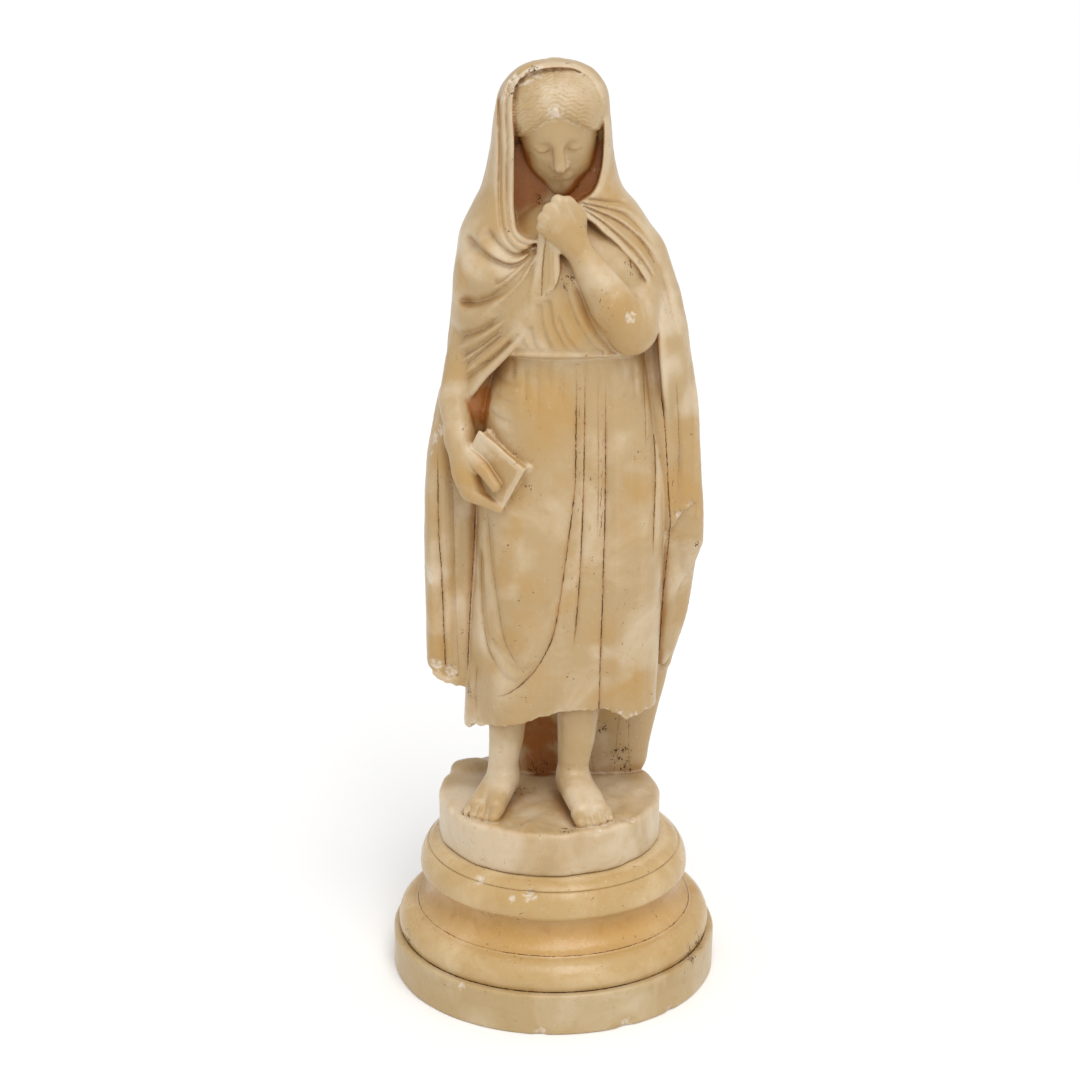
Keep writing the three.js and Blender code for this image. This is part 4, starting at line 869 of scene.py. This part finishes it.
def distance_at(points):
    """Distances at many points, worked out in chunks."""
    out = np.empty(len(points), np.float32)
    for start in range(0, len(points), CHUNK):
        part = points[start:start + CHUNK].astype(np.float32)
        out[start:start + CHUNK] = figure_distance(tuple(part.T.copy()))
    return out


# Sampling on a grid: only blocks near the surface are worked out in full
def sample_grid(low, counts, cell):
    blocks = [n // BLOCK for n in counts]
    half = BLOCK * cell / 2
    middles = np.stack(np.meshgrid(*(low[a] + half + np.arange(blocks[a]) * BLOCK * cell for a in range(3)),
                                   indexing="ij"), axis=-1)
    coarse = distance_at(middles.reshape(-1, 3)).reshape(blocks)
    values = coarse.repeat(BLOCK, 0).repeat(BLOCK, 1).repeat(BLOCK, 2)
    near = np.argwhere(np.abs(coarse) < NEAR_SURFACE * half) * BLOCK
    steps = np.stack(np.meshgrid(*[np.arange(BLOCK)] * 3, indexing="ij"), axis=-1).reshape(-1, 3)
    for start in range(0, len(near), CHUNK // BLOCK ** 3):
        cells = (near[start:start + CHUNK // BLOCK ** 3, None] + steps).reshape(-1, 3)
        values[tuple(cells.T)] = distance_at(low + cells * cell)
    return values


def surface_net(values, low, cell):
    """One vertex in each cell that the surface crosses, and a quad round each grid edge that it crosses."""
    inside = values < 0
    corners = [np.array(c) for c in np.ndindex(2, 2, 2)]
    size = [n - 1 for n in values.shape]
    count = sum(inside[c[0]:c[0] + size[0], c[1]:c[1] + size[1], c[2]:c[2] + size[2]].astype(np.int8)
                for c in corners)
    active = (count > 0) & (count < 8)
    cells = np.argwhere(active)
    index = np.full(active.shape, -1, np.int32)
    index[active] = np.arange(len(cells))
    total = np.zeros((len(cells), 3))
    weight = np.zeros(len(cells))
    for a in corners:
        for axis in range(3):
            if a[axis]:
                continue
            b = a + np.eye(3, dtype=int)[axis]
            va = values[tuple((cells + a).T)]
            vb = values[tuple((cells + b).T)]
            crossing = (va < 0) != (vb < 0)
            t = np.where(crossing, va / np.where(crossing, va - vb, 1), 0)[:, None]
            total += np.where(crossing[:, None], a + t * (b - a), 0)
            weight += crossing
    vertices = low + (cells + total / weight[:, None]) * cell
    quads = []
    for axis in range(3):
        one, two = (axis + 1) % 3, (axis + 2) % 3
        swapped = np.moveaxis(inside, (axis, one, two), (0, 1, 2))
        cell_index = np.moveaxis(index, (axis, one, two), (0, 1, 2))
        first, second = swapped[:-1, 1:-1, 1:-1], swapped[1:, 1:-1, 1:-1]
        i, j, k = np.nonzero(first != second)
        ring = [(j, k), (j + 1, k), (j + 1, k + 1), (j, k + 1)]
        quad = np.stack([cell_index[i, b, c] for b, c in ring], axis=1)
        outward = first[i, j, k]
        quads.append(np.where(outward[:, None], quad, quad[:, ::-1]))
    return vertices, np.vstack(quads).tolist()


def in_scene(name, data):
    """A new object that shows this mesh, light or camera."""
    thing = bpy.data.objects.new(name, data)
    bpy.context.scene.collection.objects.link(thing)
    return thing


def shade_smooth(mesh):
    mesh.polygons.foreach_set("use_smooth", np.ones(len(mesh.polygons), bool))


def new_piece(name, vertices, faces):
    mesh = bpy.data.meshes.new(name)
    mesh.from_pydata((vertices * MM).tolist(), [], faces)
    mesh.validate()
    shade_smooth(mesh)
    return in_scene(name, mesh)


def decimated(piece, triangles):
    modifier = piece.modifiers.new("fewer", "DECIMATE")
    modifier.ratio = min(1, triangles / sum(len(f.vertices) - 2 for f in piece.data.polygons))
    modifier.use_collapse_triangulate = True
    graph = bpy.context.evaluated_depsgraph_get()
    mesh = bpy.data.meshes.new_from_object(piece.evaluated_get(graph))
    piece.modifiers.clear()
    old = piece.data
    piece.data = mesh
    bpy.data.meshes.remove(old)
    shade_smooth(mesh)


def vertex_values(mesh, name):
    values = np.empty(len(mesh.vertices) * 3, np.float32)
    mesh.vertices.foreach_get(name, values)
    return values.reshape(-1, 3)


def vertex_places(mesh):
    return vertex_values(mesh, "co") / MM


def set_attribute(mesh, name, values):
    mesh.attributes.new(name, "FLOAT", "POINT").data.foreach_set("value", values.astype(np.float32))


# The x and y of the block that the figure is carved from
STONE_LOW = (-61, -53.5)
STONE_HIGH = (69, 53.5)


def carve_figure():
    low = np.array([*STONE_LOW, DRUM["bottom"] - 2 * CELL])
    high = np.array([*STONE_HIGH, HOOD_TOP + 3])
    counts = (np.ceil((high - low) / CELL / BLOCK).astype(int) + 1) * BLOCK
    piece = new_piece("carved_figure", *surface_net(sample_grid(low, counts, CELL), low, CELL))
    decimated(piece, FIGURE_TRIANGLES)
    return piece


# How far along the normal the hollows are felt, for painted shade in creases and recesses and a painted
# highlight on ridges
CREASE_REACHES = (0.8, 1.6)
RECESS_REACHES = (4, 8, 14)
RIDGE_REACHES = (1.2, 2.4)


def mark_hollows(piece):
    """Stores how closed in each place is, near and far, and how much it stands proud."""
    places = vertex_places(piece.data)
    normals = vertex_values(piece.data, "normal")
    for name, reaches in (("crease", CREASE_REACHES), ("recess", RECESS_REACHES)):
        closed = [1 - distance_at(places + normals * reach) / reach for reach in reaches]
        set_attribute(piece.data, name, np.clip(np.mean(closed, axis=0), 0, 1))
    proud = [1 + distance_at(places - normals * reach) / reach for reach in RIDGE_REACHES]
    set_attribute(piece.data, "ridge", np.clip(np.mean(proud, axis=0), 0, 1))


# The cloth layers, with the fold maps that draw dirt lines on them; the mantle has one for each face
LAYERS = [
    (gown, GOWN_MAPS, -1), (bodice, BODICE_MAPS, -1), (tassel, TASSEL_MAPS, -1),
    (mantle, MANTLE_MAPS, -1), (mantle, BACK_MAPS, 1),
]
# How near a layer a place has to be to belong to it, and the y that divides front from back
LAYER_TOLERANCE = 0.45
LAYER_DIVIDE = 8


def mark_lines(piece):
    """Stores the distance to the layer's nearest dirty line, signed and plain, and that line's dirt."""
    p = tuple(vertex_places(piece.data).T.copy())
    offset = np.full(len(p[0]), float(FAR_FROM_LINE))
    dirt = np.zeros(len(p[0]))
    for layer, maps, facing in LAYERS:
        own = (np.abs(layer(p)) < LAYER_TOLERANCE) & ((p[1] - LAYER_DIVIDE) * facing > 0)
        offset[own] = read_map(maps["offset"], p[0][own], p[2][own])
        dirt[own] = read_map(maps["dirt"], p[0][own], p[2][own])
    set_attribute(piece.data, "line_offset", offset)
    set_attribute(piece.data, "line_distance", np.abs(offset))
    set_attribute(piece.data, "line_dirt", dirt)


SPOTS = {"worn": WEAR, "golden": GOLD, "milky": MILK, "stained": STAINS, "grimy": GRIME}


def mark_spots(piece):
    """Stores how far into each kind of spot a place is; the drum is kept from turning golden."""
    p = tuple(vertex_places(piece.data).T.copy())
    on_drum = ease(DRUM["top"] + 3, DRUM["top"] - 2, p[2]) * ease(DRUM["bottom"] - 1, DRUM["bottom"], p[2])
    for name, places in SPOTS.items():
        values = deepest_spot(p, places)
        set_attribute(piece.data, name, values - on_drum if name == "golden" else values)


# Turned stones: profiles as radius and height, from the axis out and back to it
def arc(centre, radii, start, end, steps=14):
    return [(centre[0] + radii[0] * math.cos(a), centre[1] + radii[1] * math.sin(a))
            for a in np.linspace(start, end, steps)]


def bezier(start, one, two, end, steps=14):
    t = np.linspace(0, 1, steps)[:, None]
    curve = ((1 - t) ** 3 * np.array(start) + 3 * t * (1 - t) ** 2 * np.array(one)
             + 3 * t * t * (1 - t) * np.array(two) + t ** 3 * np.array(end))
    return [tuple(point) for point in curve]


JOINT_HEIGHT = PLINTH_HIGH[2]
SOCLE_TOP = SOCLE_HIGH[2]
PLINTH_RADIUS = PLINTH_HIGH[0]
PLINTH_EDGE = 1.2
TORUS = {"centre": (62.6, JOINT_HEIGHT + 3.9), "radii": (7.9, 8.4), "foot": 69.6}
FILLET = (61.8, JOINT_HEIGHT + 13.1)
SCOTIA = {"pulls": [(56, JOINT_HEIGHT + 14.3), (53, JOINT_HEIGHT + 22.3)], "top": (53.6, JOINT_HEIGHT + 26.3)}
ROLL = {
    "centre": (50.6, JOINT_HEIGHT + 30.5),
    "lower": (9.8, 4.2),
    "upper": (9.8, 13.2),
    "inner": (9.4, 13.2),
}
QUIRK = {"height": JOINT_HEIGHT + 40.1, "depth": 1.28}


def socle_profile():
    quirk_angle = math.asin((QUIRK["height"] - ROLL["centre"][1]) / ROLL["upper"][1])
    roll = arc(ROLL["centre"], ROLL["upper"], 0, quirk_angle)
    quirk = (roll[-1][0] - QUIRK["depth"], QUIRK["height"] + 0.16)
    line = [
        (TORUS["foot"], JOINT_HEIGHT),
        *arc(TORUS["centre"], TORUS["radii"], -0.25, math.pi / 2),
        FILLET,
        *bezier(FILLET, *SCOTIA["pulls"], SCOTIA["top"])[1:],
        *arc(ROLL["centre"], ROLL["lower"], -1.2, 0),
        *roll[1:],
        quirk,
        *arc(ROLL["centre"], ROLL["inner"], quirk_angle + 0.08, 1.45),
        (ROLL["centre"][0], SOCLE_TOP),
    ]
    return line, [((TORUS["foot"], JOINT_HEIGHT), 1), (FILLET, 0.8), (quirk, 0.45)]


def plinth_profile():
    r, e = PLINTH_RADIUS, PLINTH_EDGE
    line = [
        (r - e, 0),
        *arc((r - e, e), (e, e), -math.pi / 2, 0, 6),
        *arc((r - e, JOINT_HEIGHT - e), (e, e), 0, math.pi / 2, 6),
        (TORUS["foot"] - 4, JOINT_HEIGHT),
    ]
    return line, [((TORUS["foot"] + 0.4, JOINT_HEIGHT), 1)]


TURNS = 300
PROFILE_STEP = 0.7
TURNED_DEPTHS = {"broad": 0.14, "fine": 0.04}
# Painted shade in the scotia's hollow: its height, its half width and its strength
SCOTIA_SHADE = {"height": JOINT_HEIGHT + 20, "half": 9, "strength": 0.9}


def subdivided(line):
    points = [np.array(line[:1])]
    for a, b in zip(np.array(line), np.array(line[1:])):
        steps = max(1, math.ceil(np.linalg.norm(b - a) / PROFILE_STEP))
        points.append(a + (b - a) * (np.arange(1, steps + 1) / steps)[:, None])
    points = np.vstack(points)
    moved = np.linalg.norm(np.diff(points, axis=0), axis=1) > 1e-6
    return points[np.concatenate([[True], moved])]


def turned(name, profile, seed):
    """A lathed stone, slightly uneven and chipped, with the same attributes as the figure."""
    line, grooves = profile
    line = subdivided(line)
    count = len(line)
    angle = np.arange(TURNS) * 2 * np.pi / TURNS
    tangent = np.gradient(line, axis=0)
    tangent /= np.linalg.norm(tangent, axis=1)[:, None]
    outward = np.stack([tangent[:, 1], -tangent[:, 0]], axis=1)

    def ring(values):
        radius, height = values.T
        return np.stack([radius[None] * np.cos(angle)[:, None], radius[None] * np.sin(angle)[:, None],
                         np.broadcast_to(height, (TURNS, count))], axis=-1).reshape(-1, 3)

    places = ring(line)
    p = tuple(places.T)
    low, high = line[0, 1], line[-1, 1]
    rough = TURNED_DEPTHS["broad"] * ripple(p, 30, seed) + TURNED_DEPTHS["fine"] * ripple(p, 6, seed + 1)
    free = ease(low, low + 1, p[2]) * ease(high, high - 1, p[2])
    normals = ring(outward)
    normals[:, 2] = np.tile(outward[:, 1], TURNS)
    places = places + normals * (rough * free - chipping(p) * ease(low - 0.4, low + 0.4, p[2]))[:, None]
    vertices = np.vstack([places, [[0, 0, low], [0, 0, high]]])
    i, j = np.meshgrid(np.arange(TURNS), np.arange(count - 1), indexing="ij")
    here, following = i * count + j, (i + 1) % TURNS * count + j
    walls = np.stack([here, following, following + 1, here + 1], axis=-1).reshape(-1, 4).tolist()
    starts = np.arange(TURNS) * count
    after = np.roll(starts, -1)
    foot, head_point = TURNS * count, TURNS * count + 1
    caps = [(foot, b, a) for a, b in zip(starts.tolist(), after.tolist())]
    caps += [(head_point, a + count - 1, b + count - 1) for a, b in zip(starts.tolist(), after.tolist())]
    piece = new_piece(name, vertices, walls + caps)

    reach = np.concatenate([[0], np.cumsum(np.linalg.norm(np.diff(line, axis=0), axis=1))])
    at_grooves = [reach[np.argmin(np.linalg.norm(line - groove, axis=1))] for groove, _ in grooves]
    offsets = np.array([reach - at for at in at_grooves])
    closest = np.argmin(np.abs(offsets), axis=0)
    nearest = offsets[closest, np.arange(count)]
    dirt = np.array([amount for _, amount in grooves])[closest]

    def spread(values):
        return np.concatenate([np.tile(values, TURNS), [0, 0]])

    # Painted shade: the scotia's hollow is marked as a recess and the sides of the dirty grooves as creases,
    # which darken the colour
    from_scotia = (line[:, 1] - SCOTIA_SHADE["height"]) / SCOTIA_SHADE["half"]
    marks = {
        "line_offset": nearest,
        "line_distance": np.abs(nearest),
        "line_dirt": dirt,
        "crease": 0.75 * dirt * np.exp(-np.abs(nearest) / 1.2),
        "recess": SCOTIA_SHADE["strength"] * np.exp(-from_scotia ** 2),
        "ridge": np.zeros(count),
    }
    for mark, values in marks.items():
        set_attribute(piece.data, mark, spread(values))
    mark_spots(piece)
    return piece


# Materials: one procedural stone in three tones
class Shader:
    """Builds one procedural material: each method adds a node and gives back its output."""

    def __init__(self, name):
        self.material = bpy.data.materials.new(name)
        self.material.use_nodes = True
        self.tree = self.material.node_tree
        self.surface = self.tree.nodes["Principled BSDF"]
        self.place = self.output("ShaderNodeTexCoord", "Object", {})

    def feed(self, socket, value):
        if isinstance(value, bpy.types.NodeSocket):
            self.tree.links.new(value, socket)
        else:
            socket.default_value = value

    def output(self, kind, name, feeds, **settings):
        """One output of a new node with these settings and with these inputs fed."""
        node = self.tree.nodes.new(kind)
        for setting, value in settings.items():
            setattr(node, setting, value)
        for socket, value in feeds.items():
            self.feed(node.inputs[socket], value)
        return node.outputs[name]

    def attribute(self, name):
        return self.output("ShaderNodeAttribute", "Fac", {}, attribute_name=name)

    def noise(self, size, detail=3, distortion=0, stretch=(1, 1, 1)):
        """Cloudy values about 0.5; size is the width of a cloud in millimetres."""
        scale = [k / (size * MM) for k in stretch]
        place = self.output("ShaderNodeMapping", "Vector", {"Vector": self.place, "Scale": scale})
        feeds = {"Vector": place, "Scale": 1, "Detail": detail, "Distortion": distortion}
        return self.output("ShaderNodeTexNoise", "Fac", feeds)

    def sum(self, a, b, share=1):
        """a plus a share of b."""
        return self.output("ShaderNodeMath", 0, {0: b, 1: share, 2: a}, operation="MULTIPLY_ADD")

    def times(self, a, b):
        return self.output("ShaderNodeMath", 0, {0: a, 1: b}, operation="MULTIPLY")

    def size(self, a):
        return self.output("ShaderNodeMath", 0, {0: a}, operation="ABSOLUTE")

    def ramp(self, value, low, high, most=1):
        """Smoothly from 0 at low to most at high."""
        feeds = {"Value": value, "From Min": low, "From Max": high, "To Max": most}
        return self.output("ShaderNodeMapRange", "Result", feeds, interpolation_type="SMOOTHSTEP")

    def tint(self, share, under, over):
        feeds = {"Factor": share, "A": under, "B": over}
        return self.output("ShaderNodeMix", "Result", feeds, data_type="RGBA")

    def bump(self, height, distance, under=None):
        feeds = {"Height": height, "Distance": distance * MM}
        if under:
            feeds["Normal"] = under
        return self.output("ShaderNodeBump", "Normal", feeds)


def colour(red, green, blue):
    """A colour given as it shows on screen, in parts of 255."""
    parts = [c / 255 for c in (red, green, blue)]
    return (*[c / 12.92 if c <= 0.04045 else ((c + 0.055) / 1.055) ** 2.4 for c in parts], 1)


DIRT = colour(82, 49, 18)
BRUISE = colour(222, 208, 190)
GOLDEN_SPAN = 0.26
TRANSLUCENCY = 0.22


def alabaster(name, tones):
    s = Shader(name)
    # Clouds in the stone
    clouds = s.sum(s.noise(40, 6, 0.9), s.attribute("golden"), 0.13)
    golden = s.ramp(clouds, tones["golden_from"], tones["golden_from"] + GOLDEN_SPAN)
    body = s.tint(golden, tones["pale"], tones["golden"])
    milk = s.sum(s.sum(s.noise(28, 6, 0.5), s.attribute("milky"), 0.22), s.attribute("golden"), -0.2)
    body = s.tint(s.ramp(milk, 0.44, 0.78, 0.75), body, tones["milky"])
    body = s.tint(s.ramp(s.noise(4, 4), 0.5, 0.8, 0.35), body, tones["golden"])
    # Painted highlight: ridges and proud edges lightened towards the milky tone
    body = s.tint(s.ramp(s.attribute("ridge"), 0.1, 0.6, 0.5), body, tones["milky"])
    # Painted warm shade in the hollows, then the stain tone in the deepest: painted shade where a place is
    # closed in, and real brown stain at the stain spots
    ragged = s.sum(-0.5, s.noise(7, 4))
    hollow = s.sum(s.attribute("recess"), ragged, 0.3)
    body = s.tint(s.ramp(hollow, 0.25, 0.9, 0.6), body, tones["amber"])
    closed = s.sum(s.times(s.attribute("recess"), 0.4), s.attribute("stained"), 0.8)
    body = s.tint(s.ramp(s.sum(closed, ragged, 0.7), 0.3, 0.85, 0.9), body, tones["stain_and_shade"])
    # Painted shade in the creases, then fine dotted dirt lines along the folds
    fine = s.sum(-0.5, s.noise(1.8, 3))
    creased = s.ramp(s.sum(s.attribute("crease"), fine, 0.8), 0.5, 1.2, 0.35)
    body = s.tint(creased, body, tones["stain_and_shade"])
    dots = s.ramp(s.sum(s.noise(1.2, 2), s.noise(9, 2), 1.1), 0.92, 1.14)
    across = s.ramp(s.size(s.sum(s.attribute("line_offset"), fine, 0.7)), 0.34, 0.12)
    thin = s.times(across, s.ramp(s.attribute("line_distance"), 1.2, 0.8))
    thin = s.times(thin, s.attribute("line_dirt"))
    halo = s.times(s.ramp(s.attribute("line_distance"), 1.2, 0), s.attribute("line_dirt"))
    body = s.tint(s.times(halo, s.ramp(s.noise(11, 3), 0.4, 0.7, 0.5)), body, tones["amber"])
    body = s.tint(s.times(thin, 0.75), body, tones["stain_and_shade"])
    lines = s.times(thin, dots)
    body = s.tint(lines, body, DIRT)
    # Whitish bruises with dark grains, and stray pits
    broken = s.sum(-0.5, s.noise(1.8, 8, 0.4))
    bruise = s.ramp(s.sum(s.attribute("worn"), broken, 3), 0.35, 1.5, 0.85)
    body = s.tint(bruise, body, BRUISE)
    clotted = s.sum(s.noise(0.8, 2), s.noise(2.6, 3), 0.7)
    grains = s.ramp(s.sum(clotted, s.attribute("grimy"), 0.15), 1.06, 1.13)
    patches = s.sum(s.sum(s.ramp(s.noise(13, 2), 0.5, 0.7, 0.9), bruise, 0.6), s.attribute("grimy"))
    pits = s.times(grains, patches)
    body = s.tint(pits, body, DIRT)
    # Satin gloss, duller where bruised and along the crease floors
    gloss = s.sum(s.sum(tones["rough"], s.noise(5, 3), 0.16), bruise, 0.3)
    # Tool marks, grain and pits
    surface = s.bump(s.noise(1.1, 3, 0, (1, 1, 0.12)), 0.12)
    surface = s.bump(s.noise(2.6, 4), 0.2, surface)
    surface = s.bump(s.sum(s.times(pits, -1), lines, -0.4), 0.3, surface)
    finish = {
        "Base Color": body,
        "Roughness": s.sum(gloss, creased, 0.25),
        "Normal": surface,
        "IOR": 1.52,
        "Specular IOR Level": 0.32,
        "Subsurface Weight": TRANSLUCENCY,
        "Subsurface Radius": (1, 0.6, 0.3),
        "Subsurface Scale": 4 * MM,
    }
    for socket, value in finish.items():
        s.feed(s.surface.inputs[socket], value)
    return s.material


STONES = {
    "pale_alabaster": {
        "pale": colour(183, 155, 112), "golden": colour(183, 147, 92), "milky": colour(215, 197, 169),
        "amber": colour(160, 112, 56), "stain_and_shade": colour(155, 92, 36),
        "golden_from": 0.47, "rough": 0.26,
    },
    "honey_alabaster": {
        "pale": colour(189, 158, 108), "golden": colour(178, 139, 80), "milky": colour(212, 188, 148),
        "amber": colour(206, 157, 82), "stain_and_shade": colour(152, 98, 46),
        "golden_from": 0.56, "rough": 0.17,
    },
    "grey_alabaster": {
        "pale": colour(182, 156, 112), "golden": colour(168, 139, 90), "milky": colour(206, 189, 160),
        "amber": colour(158, 116, 66), "stain_and_shade": colour(132, 90, 48),
        "golden_from": 0.55, "rough": 0.28,
    },
}

figure = carve_figure()
mark_hollows(figure)
mark_lines(figure)
mark_spots(figure)
socle = turned("turned_socle", socle_profile(), 51)
plinth = turned("turned_plinth", plinth_profile(), 61)

PIECES = [
    (figure, "figure", "pale_alabaster"),
    (socle, "moulded_socle", "honey_alabaster"),
    (plinth, "plinth_disc", "grey_alabaster"),
]
for piece, node, slot in PIECES:
    piece.data.materials.append(alabaster(slot, STONES[slot]))
    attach(piece, "root")
    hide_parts(node)

# Camera at the photograph's viewing angle
CAMERA = {"at": (-0.00613, -0.835, 0.4422), "pitch": 0.283, "lens": 66.67, "sensor": 36}
camera_data = bpy.data.cameras.new("camera")
camera_data.lens = CAMERA["lens"]
camera_data.sensor_width = CAMERA["sensor"]
camera = in_scene("camera", camera_data)
camera.location = CAMERA["at"]
camera.rotation_euler = (math.pi / 2 - CAMERA["pitch"], 0, 0)
bpy.context.scene.camera = camera


# Soft studio light, a wide pale floor and a white surround
def area_light(name, place, target, size, watts):
    data = bpy.data.lights.new(name, "AREA")
    data.energy = watts
    data.size = size
    light = in_scene(name, data)
    light.location = place
    direction = np.array(target) - np.array(place)
    flat = math.hypot(direction[0], direction[1])
    turn = math.atan2(direction[1], direction[0]) - math.pi / 2
    light.rotation_euler = (math.atan2(flat, -direction[2]), 0, turn)


def wide_light(name, height, aside, spread, strength):
    """An even light from far off: its height above the horizon, its turn from the front, and its softness."""
    data = bpy.data.lights.new(name, "SUN")
    data.energy = strength
    data.angle = spread
    light = in_scene(name, data)
    light.rotation_euler = (math.pi / 2 - height, 0, aside)


MIDDLE = (0, 0, 0.2)
wide_light("sky", math.radians(64), math.radians(18), math.radians(36), 1.32)
area_light("front", (0.3, -1.15, 1), MIDDLE, 0.32, 2.6)

FLOOR_REACH = 60
FLOOR_TONES = ((0.95, 0.95, 0.945, 1), (0.97, 0.97, 0.965, 1))
SURROUND_STRENGTH = 0.7
floor_mesh = bpy.data.meshes.new("floor")
corners = [(-1, -1), (1, -1), (1, 1), (-1, 1)]
floor_mesh.from_pydata([(x * FLOOR_REACH, y * FLOOR_REACH, 0) for x, y in corners], [], [(0, 1, 2, 3)])
floor = in_scene("floor", floor_mesh)
paint = Shader("pale_floor")
paint.feed(paint.surface.inputs["Base Color"], paint.tint(paint.noise(300, 2), *FLOOR_TONES))
paint.feed(paint.surface.inputs["Roughness"], 0.9)
floor_mesh.materials.append(paint.material)

world = bpy.data.worlds.new("studio")
world.use_nodes = True
surround = world.node_tree.nodes["Background"].inputs
surround["Color"].default_value = (1, 1, 1, 1)
surround["Strength"].default_value = SURROUND_STRENGTH
bpy.context.scene.world = world
bpy.context.scene.view_settings.view_transform = "Standard"
